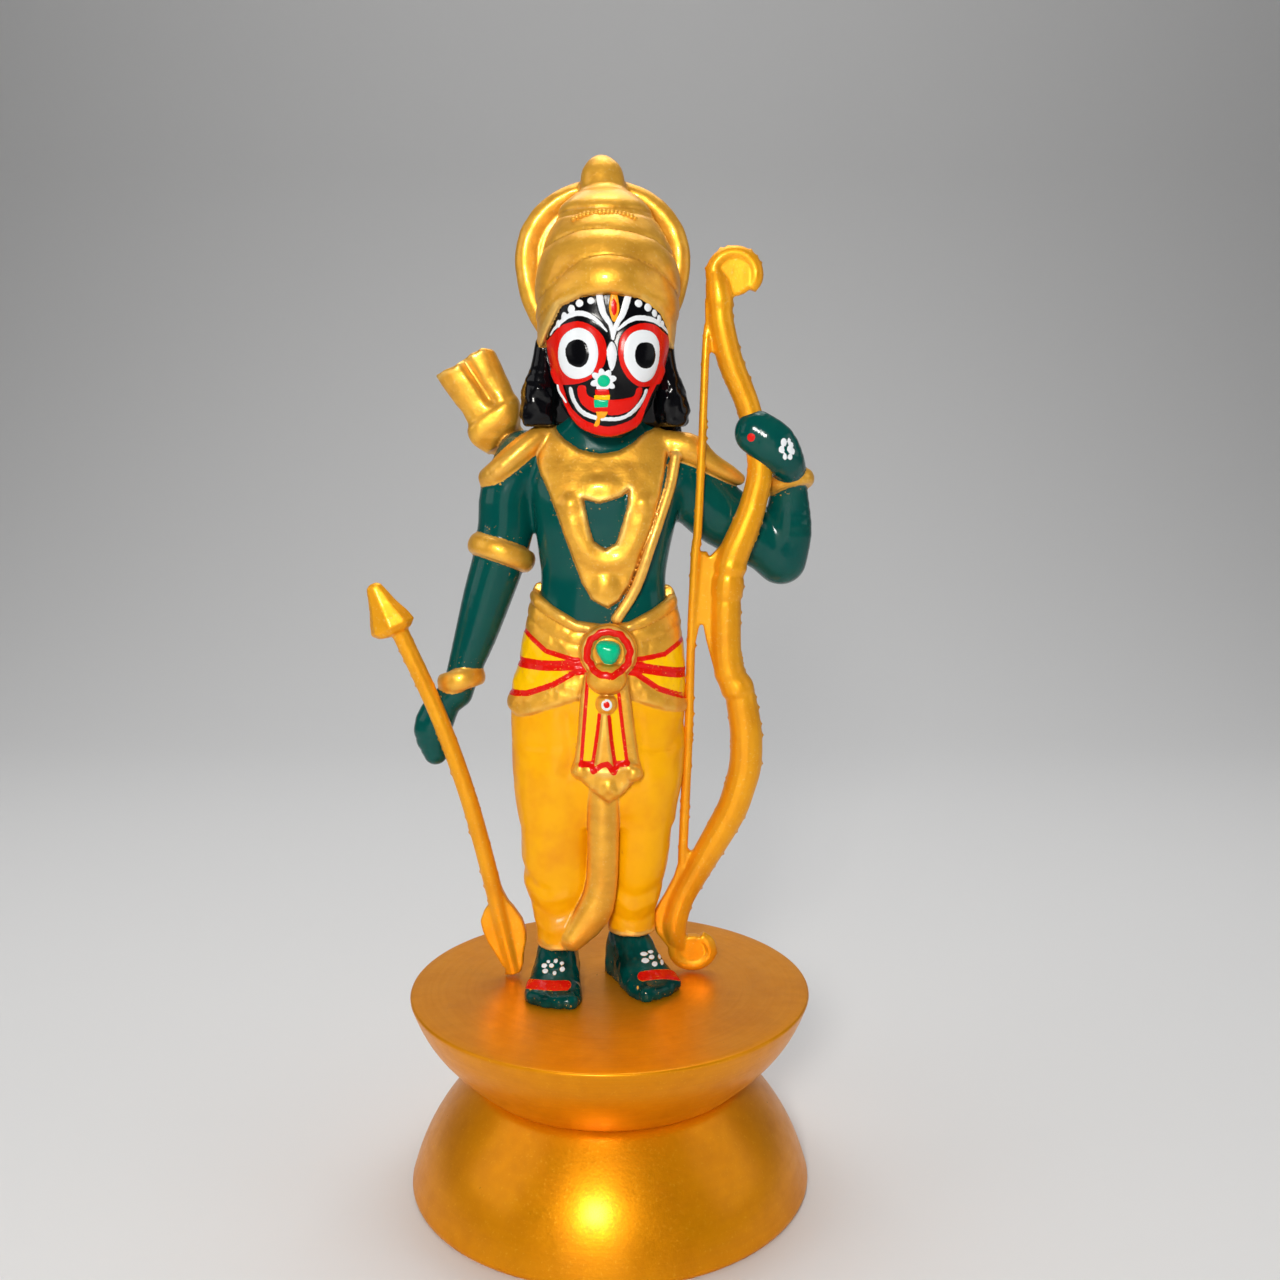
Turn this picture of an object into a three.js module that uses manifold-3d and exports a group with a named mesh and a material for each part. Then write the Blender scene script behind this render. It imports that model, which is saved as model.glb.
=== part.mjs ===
// Painted archer figure in the manner of a temple doll, on a plinth of two turned dishes.
// Millimetres, +Z up. The origin is the centre of the plinth's underside, +X is the viewer's
// right and the figure faces -Y. Stations are rows of numbers with smooth curves through them.

import * as THREE from 'three';
import { mergeVertices } from 'three/addons/utils/BufferGeometryUtils.js';
import Module from 'manifold-3d';

const wasm = await Module();
wasm.setup();

// Driving dimensions

const PLINTH_HEIGHT = 30;
const PLINTH_JOINT = 17;
const DISC_RADIUS = 30;
const FOOT_RADIUS = 30.4;
const NECK_RADIUS = 20.5;

const BODY_Y = 3.5;
const CLEARANCE = 0.3;

// The bow's plane passes through its grip and leans back a little toward its foot
const BOW = { gripY: 1.5, gripZ: 110, lean: THREE.MathUtils.degToRad(2.1) };

const STRING_RADIUS = 0.6;
const SHAFT_RADIUS = 1.3;
const WEB_THICKNESS = 0.9;

const HALO = { x: -0.95, y: 5.6, z: 137.5, radius: 12.75, rim: 1.5, thickness: 2.2, rise: 0.88, drop: 1.25 };
const CROWN_LEAN = THREE.MathUtils.degToRad(7);
const HEAD_Y = 1.4;

// How round a level is: 2 is an ellipse, more is squarer
const ROUND = 2;
const SOFT = 2.3;

// Sides of the rings
const BODY_SIDES = 17;
const LEG_SIDES = 12;
const LIMB_SIDES = 7;
const TRIM_SIDES = 5;
const PLINTH_SIDES = 36;

// Cross-sections of the body: height, middle x, middle y, half width, half depth

const TORSO = [
  [83.5, -1.0, 3.5, 10.6, 6.1],
  [88.0, -1.0, 3.5, 9.5, 5.7],
  [91.5, -0.9, 3.5, 9.2, 5.7],
  [95.5, -0.8, 3.4, 9.7, 6.1],
  [99.5, -0.6, 3.3, 10.4, 6.5],
  [103.0, -0.4, 3.3, 11.0, 6.4],
  [106.0, -0.3, 3.6, 11.4, 5.8],
  [108.6, -0.2, 3.9, 9.9, 4.9],
  [110.6, -0.1, 4.0, 6.9, 4.4],
  [112.4, 0.0, 3.8, 5.4, 4.4],
  [116.0, 0.0, 3.2, 5.2, 4.6],
];

const HIPS = [
  [55.0, -1.9, 3.5, 11.4, 5.6],
  [61.0, -1.9, 3.5, 12.3, 6.9],
  [66.0, -1.8, 3.5, 12.9, 7.3],
  [71.0, -1.75, 3.5, 13.0, 7.2],
  [78.0, -1.2, 3.5, 12.3, 6.6],
  [85.0, -0.9, 3.5, 10.8, 6.0],
];

const BELT = [
  [70.0, -1.8, 3.5, 12.9, 7.4],
  [72.4, -1.9, 3.5, 13.4, 7.6],
  [76.0, -1.5, 3.5, 13.0, 7.3],
  [80.4, -1.1, 3.5, 12.3, 7.0],
  [84.6, -0.8, 3.5, 11.5, 6.7],
  [88.6, -1.0, 3.5, 10.1, 6.4],
  [90.0, -1.0, 3.5, 9.4, 5.8],
];

const RIGHT_LEG = [
  [36.4, -7.6, 0.9, 3.4, 4.4],
  [39.0, -7.4, 1.4, 3.8, 4.9],
  [42.6, -7.4, 2.1, 4.7, 5.2],
  [47.0, -7.6, 2.7, 5.6, 5.9],
  [54.0, -7.6, 3.2, 5.9, 6.4],
  [61.0, -7.6, 3.5, 6.6, 7.0],
  [66.0, -7.4, 3.6, 6.4, 6.4],
];

const LEFT_LEG = [
  [37.8, 3.2, 2.6, 3.5, 3.9],
  [40.5, 3.2, 3.0, 3.7, 4.3],
  [45.0, 3.9, 3.2, 4.1, 5.0],
  [50.0, 4.5, 3.4, 4.5, 5.7],
  [55.0, 4.7, 3.5, 4.8, 6.2],
  [61.0, 4.6, 3.5, 6.0, 6.9],
  [66.0, 4.6, 3.6, 6.0, 6.4],
];

const HEAD = [
  [111.6, -0.4, -1.6, 2.2, 2.6],
  [112.7, -0.4, -0.9, 4.4, 4.4],
  [115.2, -0.2, 0.3, 6.5, 6.4],
  [118.6, 0.1, 0.9, 8.0, 7.6],
  [122.0, 0.2, 1.2, 8.6, 8.2],
  [126.0, 0.3, HEAD_Y, 8.7, 8.3],
  [131.0, 0.2, HEAD_Y, 8.6, 8.2],
  [135.0, 0.2, HEAD_Y, 7.4, 7.0],
];

// The crown before it is leaned back: rolls and coves rising to a small dome
const CROWN = [
  [123.4, -0.3, 2.0, 9.2, 8.6],
  [125.6, -0.3, 1.8, 9.9, 9.2],
  [129.6, -0.1, 1.6, 10.1, 9.7],
  [133.0, -0.1, 1.6, 10.3, 9.9],
  [134.9, -0.1, 1.7, 9.8, 9.2],
  [136.6, -0.1, 1.7, 10.0, 9.4],
  [138.2, -0.2, 1.8, 9.4, 8.8],
  [139.2, -0.3, 1.9, 8.4, 7.8],
  [140.8, -0.4, 2.0, 7.7, 6.9],
  [141.8, -0.4, 2.0, 7.8, 7.1],
  [143.4, -0.4, 2.0, 6.7, 6.2],
  [144.8, -0.5, 2.1, 5.3, 4.9],
  [146.0, -0.6, 2.2, 3.2, 3.0],
];

// Limbs along a route: x, y, z, half width, half depth

const RIGHT_ARM = [
  [-12.2, 4.2, 107.4, 3.9, 4.0],
  [-14.9, 4.2, 103.6, 4.1, 4.2],
  [-15.3, 4.2, 99.0, 4.1, 4.2],
  [-16.3, 4.2, 94.2, 3.9, 4.1],
  [-18.1, 4.0, 88.6, 3.6, 3.8],
  [-20.0, 3.8, 82.6, 3.1, 3.3],
  [-21.8, 3.6, 77.4, 2.5, 2.7],
  [-22.8, 3.4, 74.0, 2.3, 2.5],
];

const RIGHT_HAND = [
  [-22.9, 3.3, 74.4, 2.2, 2.3],
  [-25.4, 3.2, 71.4, 3.0, 2.7],
  [-26.6, 3.1, 68.2, 2.8, 2.6],
  [-26.4, 3.0, 65.0, 1.9, 1.9],
];

const LEFT_UPPER_ARM = [
  [11.0, 4.6, 106.4, 4.0, 4.0],
  [15.6, 5.6, 102.0, 4.3, 4.3],
  [20.4, 6.8, 98.0, 4.1, 4.1],
  [25.6, 7.8, 94.0, 3.4, 3.4],
];

const LEFT_FOREARM = [
  [25.9, 7.9, 93.6, 3.7, 3.5],
  [26.6, 7.4, 97.6, 3.7, 3.5],
  [26.7, 6.6, 101.8, 3.1, 3.0],
  [26.5, 5.4, 105.6, 2.5, 2.6],
];

const LEFT_HAND = [
  [26.6, 4.6, 106.6, 2.4, 2.7],
  [25.6, 1.9, 108.4, 2.7, 3.0],
  [23.7, 0.6, 110.6, 3.3, 2.7],
  [21.3, 0.7, 112.3, 3.2, 2.4],
];

// Stations of the bow in its own plane: x, z, radius
const BOW_LIMB = [
  [15.6, 132.0, 1.9],
  [16.0, 127.6, 1.7],
  [17.6, 122.2, 1.6],
  [20.1, 115.9, 1.6],
  [21.9, 108.0, 1.7],
  [20.9, 101.2, 1.9],
  [18.7, 94.6, 2.3],
  [18.2, 90.0, 1.9],
  [18.5, 84.0, 1.8],
  [18.9, 77.0, 1.8],
  [20.6, 69.4, 1.8],
  [20.8, 61.4, 1.8],
  [18.3, 55.4, 1.8],
  [14.9, 49.2, 1.7],
  [11.5, 43.0, 1.6],
  [9.8, 38.0, 1.5],
  [10.3, 34.8, 1.4],
];

const STRING = [
  [14.2, 127.5],
  [13.5, 109.9],
  [13.0, 92.4],
  [12.2, 73.0],
  [11.4, 60.0],
  [11.1, 46.0],
];

const ARROW = [
  [-14.8, 2.7, 31.2],
  [-20.2, 1.7, 54.6],
  [-24.9, 0.6, 70.0],
  [-30.0, -0.6, 82.6],
  [-31.4, -1.0, 85.6],
];

// Curves through rows of numbers

function catmullRom(before, from, to, after, f) {
  const start = (to - before) / 2;
  const end = (after - from) / 2;
  const ff = f * f;
  const fff = ff * f;
  return (2 * fff - 3 * ff + 1) * from + (fff - 2 * ff + f) * start
    + (3 * ff - 2 * fff) * to + (fff - ff) * end;
}

function rowAt(rows, t) {
  const place = Math.min(Math.max(t, 0), 1) * (rows.length - 1);
  const i = Math.min(Math.floor(place), rows.length - 2);
  const near = (k) => rows[Math.min(Math.max(k, 0), rows.length - 1)];
  return rows[0].map((_, c) => catmullRom(near(i - 1)[c], near(i)[c], near(i + 1)[c], near(i + 2)[c], place - i));
}

function signedPower(value, power) {
  return Math.sign(value) * Math.abs(value) ** power;
}

// Skins

// A closed skin over rings with equal counts of points, capped at both ends
function skin(rings) {
  const sides = rings[0].length;
  const points = rings.flat();
  const middle = (ring) => ring.reduce((sum, p) => sum.add(p), new THREE.Vector3()).divideScalar(sides);
  const first = points.push(middle(rings[0])) - 1;
  const last = points.push(middle(rings[rings.length - 1])) - 1;
  const index = [];
  for (let side = 0; side < sides; side += 1) {
    const next = (side + 1) % sides;
    for (let ring = 0; ring < rings.length - 1; ring += 1) {
      const low = ring * sides;
      const high = low + sides;
      index.push(low + side, low + next, high + next, low + side, high + next, high + side);
    }
    const top = (rings.length - 1) * sides;
    index.push(first, next, side, last, top + side, top + next);
  }
  return new THREE.BufferGeometry().setFromPoints(points).setIndex(index);
}

function levelRing([z, x, y, halfWidth, halfDepth], sides, grow, power) {
  const ring = [];
  for (let side = 0; side < sides; side += 1) {
    const angle = (2 * Math.PI * side) / sides;
    const across = signedPower(Math.cos(angle), 2 / power) * (halfWidth + grow);
    const deep = signedPower(Math.sin(angle), 2 / power) * (halfDepth + grow);
    ring.push(new THREE.Vector3(x + across, y + deep, z));
  }
  return ring;
}

// An upright form through level cross-sections
function stack(levels, { sides = BODY_SIDES, steps = levels.length - 1, grow = 0, power = SOFT } = {}) {
  const rings = [];
  for (let step = 0; step <= steps; step += 1) {
    rings.push(levelRing(rowAt(levels, step / steps), sides, grow, power));
  }
  return skin(rings);
}

// The front of an upright form at a place on it
function frontOf(levels, x, z, grow = 0, power = SOFT) {
  let low = 0;
  let high = 1;
  for (let halving = 0; halving < 24; halving += 1) {
    const half = (low + high) / 2;
    if (rowAt(levels, half)[0] < z) low = half;
    else high = half;
  }
  const [, middleX, middleY, halfWidth, halfDepth] = rowAt(levels, low);
  const across = Math.min(Math.abs(x - middleX) / (halfWidth + grow), 1);
  return middleY - (halfDepth + grow) * (1 - across ** power) ** (1 / power);
}

// A limb along a route of stations x, y, z, half width, half depth, with rounded ends
const END_TURNS = [55].map(THREE.MathUtils.degToRad);

function limb(stations, { sides = LIMB_SIDES, steps = stations.length, grow = 0, ends = END_TURNS } = {}) {
  const deepWay = new THREE.Vector3(0, 1, 0);
  const rings = [];
  const addRing = (t, turn, way) => {
    const [x, y, z, halfWidth, halfDepth] = rowAt(stations, t);
    const before = rowAt(stations, t - 0.02);
    const after = rowAt(stations, t + 0.02);
    const along = new THREE.Vector3(after[0] - before[0], after[1] - before[1], after[2] - before[2]).normalize();
    const across = new THREE.Vector3().crossVectors(deepWay, along).normalize();
    const deep = new THREE.Vector3().crossVectors(along, across);
    const width = (halfWidth + grow) * Math.cos(turn);
    const depth = (halfDepth + grow) * Math.cos(turn);
    const centre = new THREE.Vector3(x, y, z).addScaledVector(along, way * (halfWidth + grow) * Math.sin(turn));
    const ring = [];
    for (let side = 0; side < sides; side += 1) {
      const angle = (2 * Math.PI * side) / sides;
      ring.push(centre.clone()
        .addScaledVector(across, width * Math.cos(angle))
        .addScaledVector(deep, depth * Math.sin(angle)));
    }
    rings.push(ring);
  };
  ends.forEach((turn) => addRing(0, turn, -1));
  for (let step = 0; step <= steps; step += 1) addRing(step / steps, 0, 0);
  [...ends].reverse().forEach((turn) => addRing(1, turn, 1));
  return skin(rings);
}

// A straight-sided block of an outline drawn in x and z, from a front y to a back y
function slab(points, front, back) {
  const shape = new THREE.Shape(points.map(([x, z]) => new THREE.Vector2(x, z)));
  const block = new THREE.ExtrudeGeometry(shape, { depth: back - front, bevelEnabled: false });
  return block.rotateX(Math.PI / 2).translate(0, back, 0);
}

function ball(x, y, z, rx, ry, rz, sides = 7) {
  return new THREE.SphereGeometry(1, sides, Math.ceil(sides / 2)).scale(rx, ry, rz).translate(x, y, z);
}

// A ring of cloth or metal round a limb, its axis along the limb
function hoop(centre, axis, radius, thickness, height, sides = 10) {
  const round = new THREE.TorusGeometry(radius, 1, TRIM_SIDES, sides);
  round.scale((radius + thickness) / (radius + 1), (radius + thickness) / (radius + 1), height);
  const turn = new THREE.Quaternion().setFromUnitVectors(new THREE.Vector3(0, 0, 1), axis.clone().normalize());
  return round.applyQuaternion(turn).translate(centre.x, centre.y, centre.z);
}

// Solids

// Shorter edges than this are closed up where forms are joined
const SMALLEST_EDGE = 0.1;

function solid(geometry) {
  const plain = geometry.clone();
  plain.deleteAttribute('normal');
  plain.deleteAttribute('uv');
  const merged = mergeVertices(plain, 1e-4);
  const vertProperties = new Float32Array(merged.attributes.position.array);
  const triVerts = new Uint32Array(merged.index.array);
  const form = { numProp: 3, vertProperties, triVerts, tolerance: SMALLEST_EDGE };
  const made = new wasm.Manifold(new wasm.Mesh(form));
  if (made.volume() > 0) return made;
  return new wasm.Manifold(new wasm.Mesh({ ...form, triVerts: triVerts.reverse() }));
}

function joined(...geometries) {
  return geometries.flat(3).map(solid).reduce((all, next) => all.add(next));
}

// The main body of a joined solid, without specks closed up inside it
function mainBody(made) {
  return made.decompose().reduce((largest, next) => (next.volume() > largest.volume() ? next : largest));
}

function mesh(name, made, material) {
  const { numProp, vertProperties, triVerts } = mainBody(made).getMesh();
  const geometry = new THREE.BufferGeometry();
  const positions = new Float32Array((vertProperties.length / numProp) * 3);
  for (let i = 0; i < positions.length / 3; i += 1) {
    positions.set(vertProperties.subarray(i * numProp, i * numProp + 3), 3 * i);
  }
  geometry.setAttribute('position', new THREE.BufferAttribute(positions, 3));
  geometry.setIndex(new THREE.BufferAttribute(new Uint32Array(triVerts), 1));
  geometry.computeVertexNormals();
  const piece = new THREE.Mesh(geometry, material);
  piece.name = name;
  return piece;
}

// The plinth

function dish(profile) {
  const points = profile.map(([radius, z]) => new THREE.Vector2(radius, z));
  return new THREE.LatheGeometry(points, PLINTH_SIDES).rotateX(Math.PI / 2);
}

// A bowl side that swells between two rims, as heights and radii from the lower rim up
function swelling(lowRadius, highRadius, height, swell, rows) {
  const side = [];
  for (let row = 0; row <= rows; row += 1) {
    const part = row / rows;
    const radius = lowRadius + (highRadius - lowRadius) * part + swell * Math.sin(Math.PI * part);
    side.push([radius, height * part]);
  }
  return side;
}

const DISH_ROWS = 4;
const RIM_CHAMFER = 0.5;

function upperDish() {
  const height = PLINTH_HEIGHT - PLINTH_JOINT;
  const side = swelling(NECK_RADIUS, DISC_RADIUS, height - RIM_CHAMFER, 1.5, DISH_ROWS);
  return dish([[0, 0], ...side, [DISC_RADIUS - RIM_CHAMFER, height], [0, height]]);
}

function lowerDish() {
  const side = swelling(FOOT_RADIUS, NECK_RADIUS, PLINTH_JOINT - RIM_CHAMFER, 1.6, DISH_ROWS);
  const raised = side.map(([radius, z]) => [radius, z + RIM_CHAMFER]);
  return dish([[0, 0], [FOOT_RADIUS - 1.2, 0], ...raised, [0, PLINTH_JOINT]]);
}

// The figure's body

// The two legs of the wrapped cloth and the hips that they hang from
function trousers() {
  return [stack(HIPS), stack(RIGHT_LEG, { sides: LEG_SIDES }), stack(LEFT_LEG, { sides: LEG_SIDES })];
}

const FOOT = { length: 13, toeWidth: 4.2, heelWidth: 3.0, ankleHeight: 8.8, toeHeight: 2.1 };

// A bare foot with its heel behind and its toes toward -Y, broad and blunt like a mitten
function foot() {
  const { length, toeWidth, heelWidth, ankleHeight, toeHeight } = FOOT;
  const levels = [
    [-0.66 * length, 0.9, 0, 0.5 * toeWidth, 0.6 * toeHeight],
    [-0.58 * length, 0.4, 0, 0.85 * toeWidth, 1.0 * toeHeight],
    [-0.42 * length, 0, 0, toeWidth, 1.3 * toeHeight],
    [-0.2 * length, 0, 0, 0.92 * toeWidth, 0.55 * ankleHeight],
    [0.06 * length, 0, 0, heelWidth, ankleHeight],
    [0.3 * length, 0, 0, heelWidth, ankleHeight],
    [0.42 * length, 0, 0, 0.8 * heelWidth, 0.8 * ankleHeight],
  ];
  return stack(levels, { sides: 14 }).rotateX(-Math.PI / 2);
}

function placedFeet() {
  const turn = THREE.MathUtils.degToRad(23);
  const right = foot().translate(-8.2, -0.4, PLINTH_HEIGHT);
  const left = foot().scale(-1, 1, 1).rotateZ(turn).translate(4.2, 2.4, PLINTH_HEIGHT);
  const ground = new THREE.BoxGeometry(60, 60, 10).translate(0, 0, PLINTH_HEIGHT - 5);
  return joined(right, left).subtract(solid(ground));
}

// Trimmings on the chest and hips

const BIB_OUTLINE = [
  [-9.4, 110.8], [-8.6, 106.0], [-5.2, 98.5], [-2.6, 91.0], [0.1, 87.8], [2.3, 90.4],
  [5.0, 95.6], [6.9, 102.6], [8.4, 109.8], [6.0, 113.6], [-7.0, 113.6],
];
const BIB_WINDOW = [[-3.4, 103.0], [-2.7, 99.6], [-0.2, 95.9], [2.5, 99.8], [3.0, 104.2]];
const BIB_RAISE = 0.9;

function bib() {
  const plate = solid(slab(BIB_OUTLINE, -20, BODY_Y));
  const window = solid(slab(BIB_WINDOW, -20, BODY_Y));
  return plate.subtract(window).intersect(solid(stack(TORSO, { grow: BIB_RAISE })));
}

// A cord or chain lying on the front of a form, through places x, z
function laidOn(levels, route, radius, sink = 0.35, options = {}) {
  const stations = route.map(([x, z]) => [x, frontOf(levels, x, z) + sink * radius, z, radius, radius]);
  return limb(stations, { sides: TRIM_SIDES, ...options });
}

const CHAIN = [[-5.1, 101.8], [-4.3, 98.2], [-2.4, 95.0], [0.1, 94.0], [2.5, 95.0], [4.2, 98.2], [5.0, 102.2]];
const THREAD = [[9.7, 108.6], [8.2, 102.6], [6.0, 96.2], [3.9, 90.2], [1.2, 85.8]];

function chestTrim() {
  return [
    laidOn(TORSO, CHAIN, 1.5),
    laidOn(TORSO, THREAD, 0.7, 0.1),
    ball(-0.9, frontOf(TORSO, -0.9, 105) + 0.7, 105, 2.4, 1.5, 1.5),
    ball(-0.5, frontOf(TORSO, -0.5, 90.4) + 0.5, 90.4, 1.7, 1.3, 1.7),
  ];
}

// The hip scarf: a band whose folds spread from the brooch to both hips
const BELT_DIP = [[-12.5, 90.6], [-8, 87.8], [-3.6, 85.5], [-0.8, 84.9], [2.4, 85.6], [6.6, 87.6], [10.6, 90.6]];
const FOLD_COUNT = 4;
const BROOCH = { x: 0, z: 81.1, radius: 4.1 };

function scarf() {
  const dip = [...BELT_DIP, [12, 96], [-14, 96]];
  return solid(stack(BELT)).subtract(solid(slab(dip, -20, BODY_Y)));
}

function scarfFolds() {
  const folds = [];
  for (const hip of [-13.3, 10.9]) {
    for (let fold = 0; fold < FOLD_COUNT; fold += 1) {
      const spread = fold / (FOLD_COUNT - 1);
      const knotX = BROOCH.x + Math.sign(hip) * (BROOCH.radius - 0.6 - 0.5 * spread);
      const hipZ = 86.4 - 14.0 * spread;
      const knotZ = 82.6 - 6.0 * spread;
      const midX = (knotX + hip) / 2;
      const midZ = (knotZ + hipZ) / 2 - 0.5;
      const reach = hip * (1 - 0.1 * (1 - spread));
      const route = [[knotX, knotZ], [midX, midZ], [reach, hipZ]];
      folds.push(laidOn(BELT, route, 1.35 + 0.25 * spread, 0.6, { steps: 3, ends: [] }));
    }
  }
  return folds;
}

function brooch() {
  const { x, z, radius } = BROOCH;
  const y = frontOf(BELT, x, z);
  const pendant = 73.6;
  return [
    ball(x, y, z, radius, 1.9, radius, 12),
    ball(x, y - 1.1, z, 0.5 * radius, 1.4, 0.5 * radius),
    ball(x, y - 0.1, z - 4.0, 2.2, 1.4, 2.4),
    ball(x - 0.2, y - 0.7, pendant, 1.5, 1.4, 1.5),
  ];
}

const SASH_OUTLINE = [[-3.6, 78.0], [-4.2, 74.5], [-5.3, 63.6], [0.2, 59.3], [4.7, 63.2], [3.3, 74.5], [2.8, 78.0]];

function frontSash() {
  const plate = solid(slab(SASH_OUTLINE, -20, BODY_Y));
  const end = solid(slab([[-5.4, 63.8], [0.2, 59.2], [4.8, 63.4], [2.9, 65.2], [-0.3, 64.4], [-3.8, 65.6]], -20, BODY_Y));
  const flat = plate.intersect(solid(stack(HIPS, { grow: 1.3 })));
  return flat.add(end.intersect(solid(stack(HIPS, { grow: 1.9 }))));
}

// The long gold fold that falls between the legs and turns to the right ankle
const PLEAT = [
  [-0.8, -2.2, 62.0, 2.1, 2.2],
  [-0.9, -2.4, 54.0, 2.1, 2.2],
  [-1.2, -2.0, 46.0, 2.3, 2.0],
  [-2.6, -2.4, 41.6, 2.6, 1.8],
  [-5.4, -3.0, 38.0, 1.8, 1.4],
];

// The head, its hair and its crown

const BROW_OPENING = [
  [-7.9, 122.0], [-7.8, 126.4], [-6.4, 130.2], [-3.4, 131.3], [0.4, 131.6], [4.4, 131.4],
  [7.2, 130.0], [8.4, 126.4], [8.5, 122.0],
];

function crown() {
  const tiers = stack(CROWN, { power: ROUND, steps: 11 });
  const pivot = 128;
  tiers.translate(0, -HEAD_Y, -pivot).rotateX(-CROWN_LEAN).translate(0, HEAD_Y, pivot);
  return solid(tiers).subtract(solid(slab(BROW_OPENING, -20, HEAD_Y - 2)));
}

function halo() {
  const { x, y, z, radius, rim, thickness, rise, drop } = HALO;
  const profile = [[0, 0.5], [radius - 2.4 * rim, 0.5]];
  for (let step = 0; step <= 4; step += 1) {
    const angle = -0.7 * Math.PI + (1.2 * Math.PI * step) / 4;
    profile.push([radius - rim + rim * Math.cos(angle), 0.9 + rim * Math.sin(angle)]);
  }
  profile.push([0, thickness]);
  const points = profile.map(([r, h]) => new THREE.Vector2(r, h));
  const disc = new THREE.LatheGeometry(points, 24);
  const places = disc.attributes.position;
  for (let i = 0; i < places.count; i += 1) {
    const height = places.getZ(i);
    places.setZ(i, height * (height > 0 ? rise : drop));
  }
  return disc.translate(x, y, z);
}

function knob() {
  const levels = [
    [144.0, -0.5, 3.6, 3.9, 3.4],
    [147.4, -0.8, 4.6, 3.5, 3.0],
    [149.1, -0.9, 4.9, 3.0, 2.7],
    [151.0, -1.0, 5.0, 1.9, 1.7],
    [152.0, -1.1, 5.0, 0.6, 0.5],
  ];
  return stack(levels, { sides: 12, power: ROUND });
}

const HAIR_BACK = [
  [106.5, 0.0, 8.0, 7.0, 1.6],
  [110.0, 0.0, 6.8, 10.2, 3.6],
  [115.0, 0.0, 5.8, 10.7, 5.4],
  [120.0, 0.0, 5.4, 9.9, 5.9],
  [126.0, 0.0, 5.0, 9.4, 6.0],
];
const CURLS = 3;

// Hair that hangs to the shoulders, with a column of curls down each side
function hair() {
  const pieces = [stack(HAIR_BACK, { sides: 12 })];
  for (const side of [-1, 1]) {
    for (let curl = 0; curl < CURLS; curl += 1) {
      const fall = curl / (CURLS - 1);
      const x = side * (8.8 + 1.0 * fall);
      pieces.push(ball(x, 1.4 + 0.4 * fall, 122.6 - 7.2 * fall, 2.0 + 0.6 * fall, 2.4, 2.7, 6));
    }
  }
  return pieces;
}

// Arm trimmings, hands and the quiver behind the right shoulder

function armTrim() {
  const place = (x, y, z) => new THREE.Vector3(x, y, z);
  return [
    hoop(place(-16.0, 4.2, 94.9), place(0.1, 0.15, 1), 4.0, 1.0, 1.7),
    hoop(place(-22.2, 3.5, 76.0), place(-0.3, 0.1, 1), 2.6, 1.0, 1.5),
    hoop(place(26.7, 5.4, 105.2), place(-0.25, 0.3, 1), 2.7, 0.9, 1.2),
    limb([[-9.6, 2.6, 110.2, 1.5, 1.9], [-13.6, 1.8, 108.2, 1.6, 2.4], [-17.4, 3.2, 105.9, 1.5, 2.4]]),
    limb([[8.4, 2.8, 110.0, 1.5, 1.8], [13.0, 2.6, 107.9, 1.7, 2.2], [18.2, 4.2, 105.0, 1.3, 2.0]]),
  ];
}

const QUIVER = [
  [-1.0, 14.4, 88.0, 2.6, 2.4],
  [-6.2, 13.2, 96.0, 2.9, 2.7],
  [-11.4, 11.4, 104.0, 3.3, 3.1],
  [-15.6, 9.0, 109.6, 3.9, 3.6],
  [-17.2, 7.4, 113.2, 4.0, 3.5],
  [-16.9, 6.6, 115.6, 3.0, 2.7],
];

// A quiver slung down the back, its flared mouth of two lobes above the right shoulder
function quiver() {
  const neck = new THREE.Vector3(-16.4, 6.4, 116.3);
  const axis = new THREE.Vector3(-4.0, -0.5, 6.2);
  return [
    limb(QUIVER),
    hoop(neck, axis, 3.0, 0.8, 1.0),
    limb([[-16.6, 6.4, 116.0, 2.8, 2.2], [-19.2, 6.2, 118.8, 3.2, 2.2], [-23.2, 6.0, 120.4, 1.7, 1.6]]),
    limb([[-16.4, 6.4, 116.2, 2.7, 2.2], [-16.9, 6.2, 119.6, 2.4, 2.1], [-17.4, 6.0, 122.6, 1.7, 1.6]]),
  ];
}

// A strap that carries the quiver across the back
function backStrap() {
  return limb([[9.6, 6.4, 106.6, 0.7, 1.0], [2.0, 9.8, 99.0, 1.6, 0.9], [-6.0, 9.2, 90.4, 0.7, 1.0]], { sides: 8 });
}

// The bow with its string, and the arrow

// Turns a shape drawn about y = 0 into the bow's leaning plane
function inBowPlane(geometry) {
  return geometry.translate(0, 0, -BOW.gripZ).rotateX(BOW.lean).translate(0, BOW.gripY, BOW.gripZ);
}

function bowRod(stations, options) {
  return limb(stations.map(([x, z, radius]) => [x, 0, z, radius, radius]), options);
}

// A flat curl at an end of the bow: its stations about a centre, from one angle to another
function scroll(centreX, centreZ, outer, thickness, from, to) {
  const stations = [];
  const turns = 6;
  for (let step = 0; step <= turns; step += 1) {
    const part = step / turns;
    const angle = THREE.MathUtils.degToRad(from + (to - from) * part);
    const reach = (outer - thickness) * (1 - 0.25 * part);
    stations.push([centreX + reach * Math.cos(angle), centreZ + reach * Math.sin(angle), thickness * (1 - 0.2 * part)]);
  }
  return stations;
}

function web(points, grow) {
  const half = WEB_THICKNESS / 2 + grow;
  return slab(points, -half, half);
}

const GRIP_RINGS = [[18.3, 91.2, 2.3], [18.2, 83.0, 2.4], [19.3, 76.4, 2.3], [20.0, 73.6, 2.5]];
const TOP_SCROLL = scroll(18.1, 135.0, 4.0, 1.7, 205, -40);
const FOOT_SCROLL = scroll(12.4, 33.0, 3.5, 1.4, 150, 430);

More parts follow.
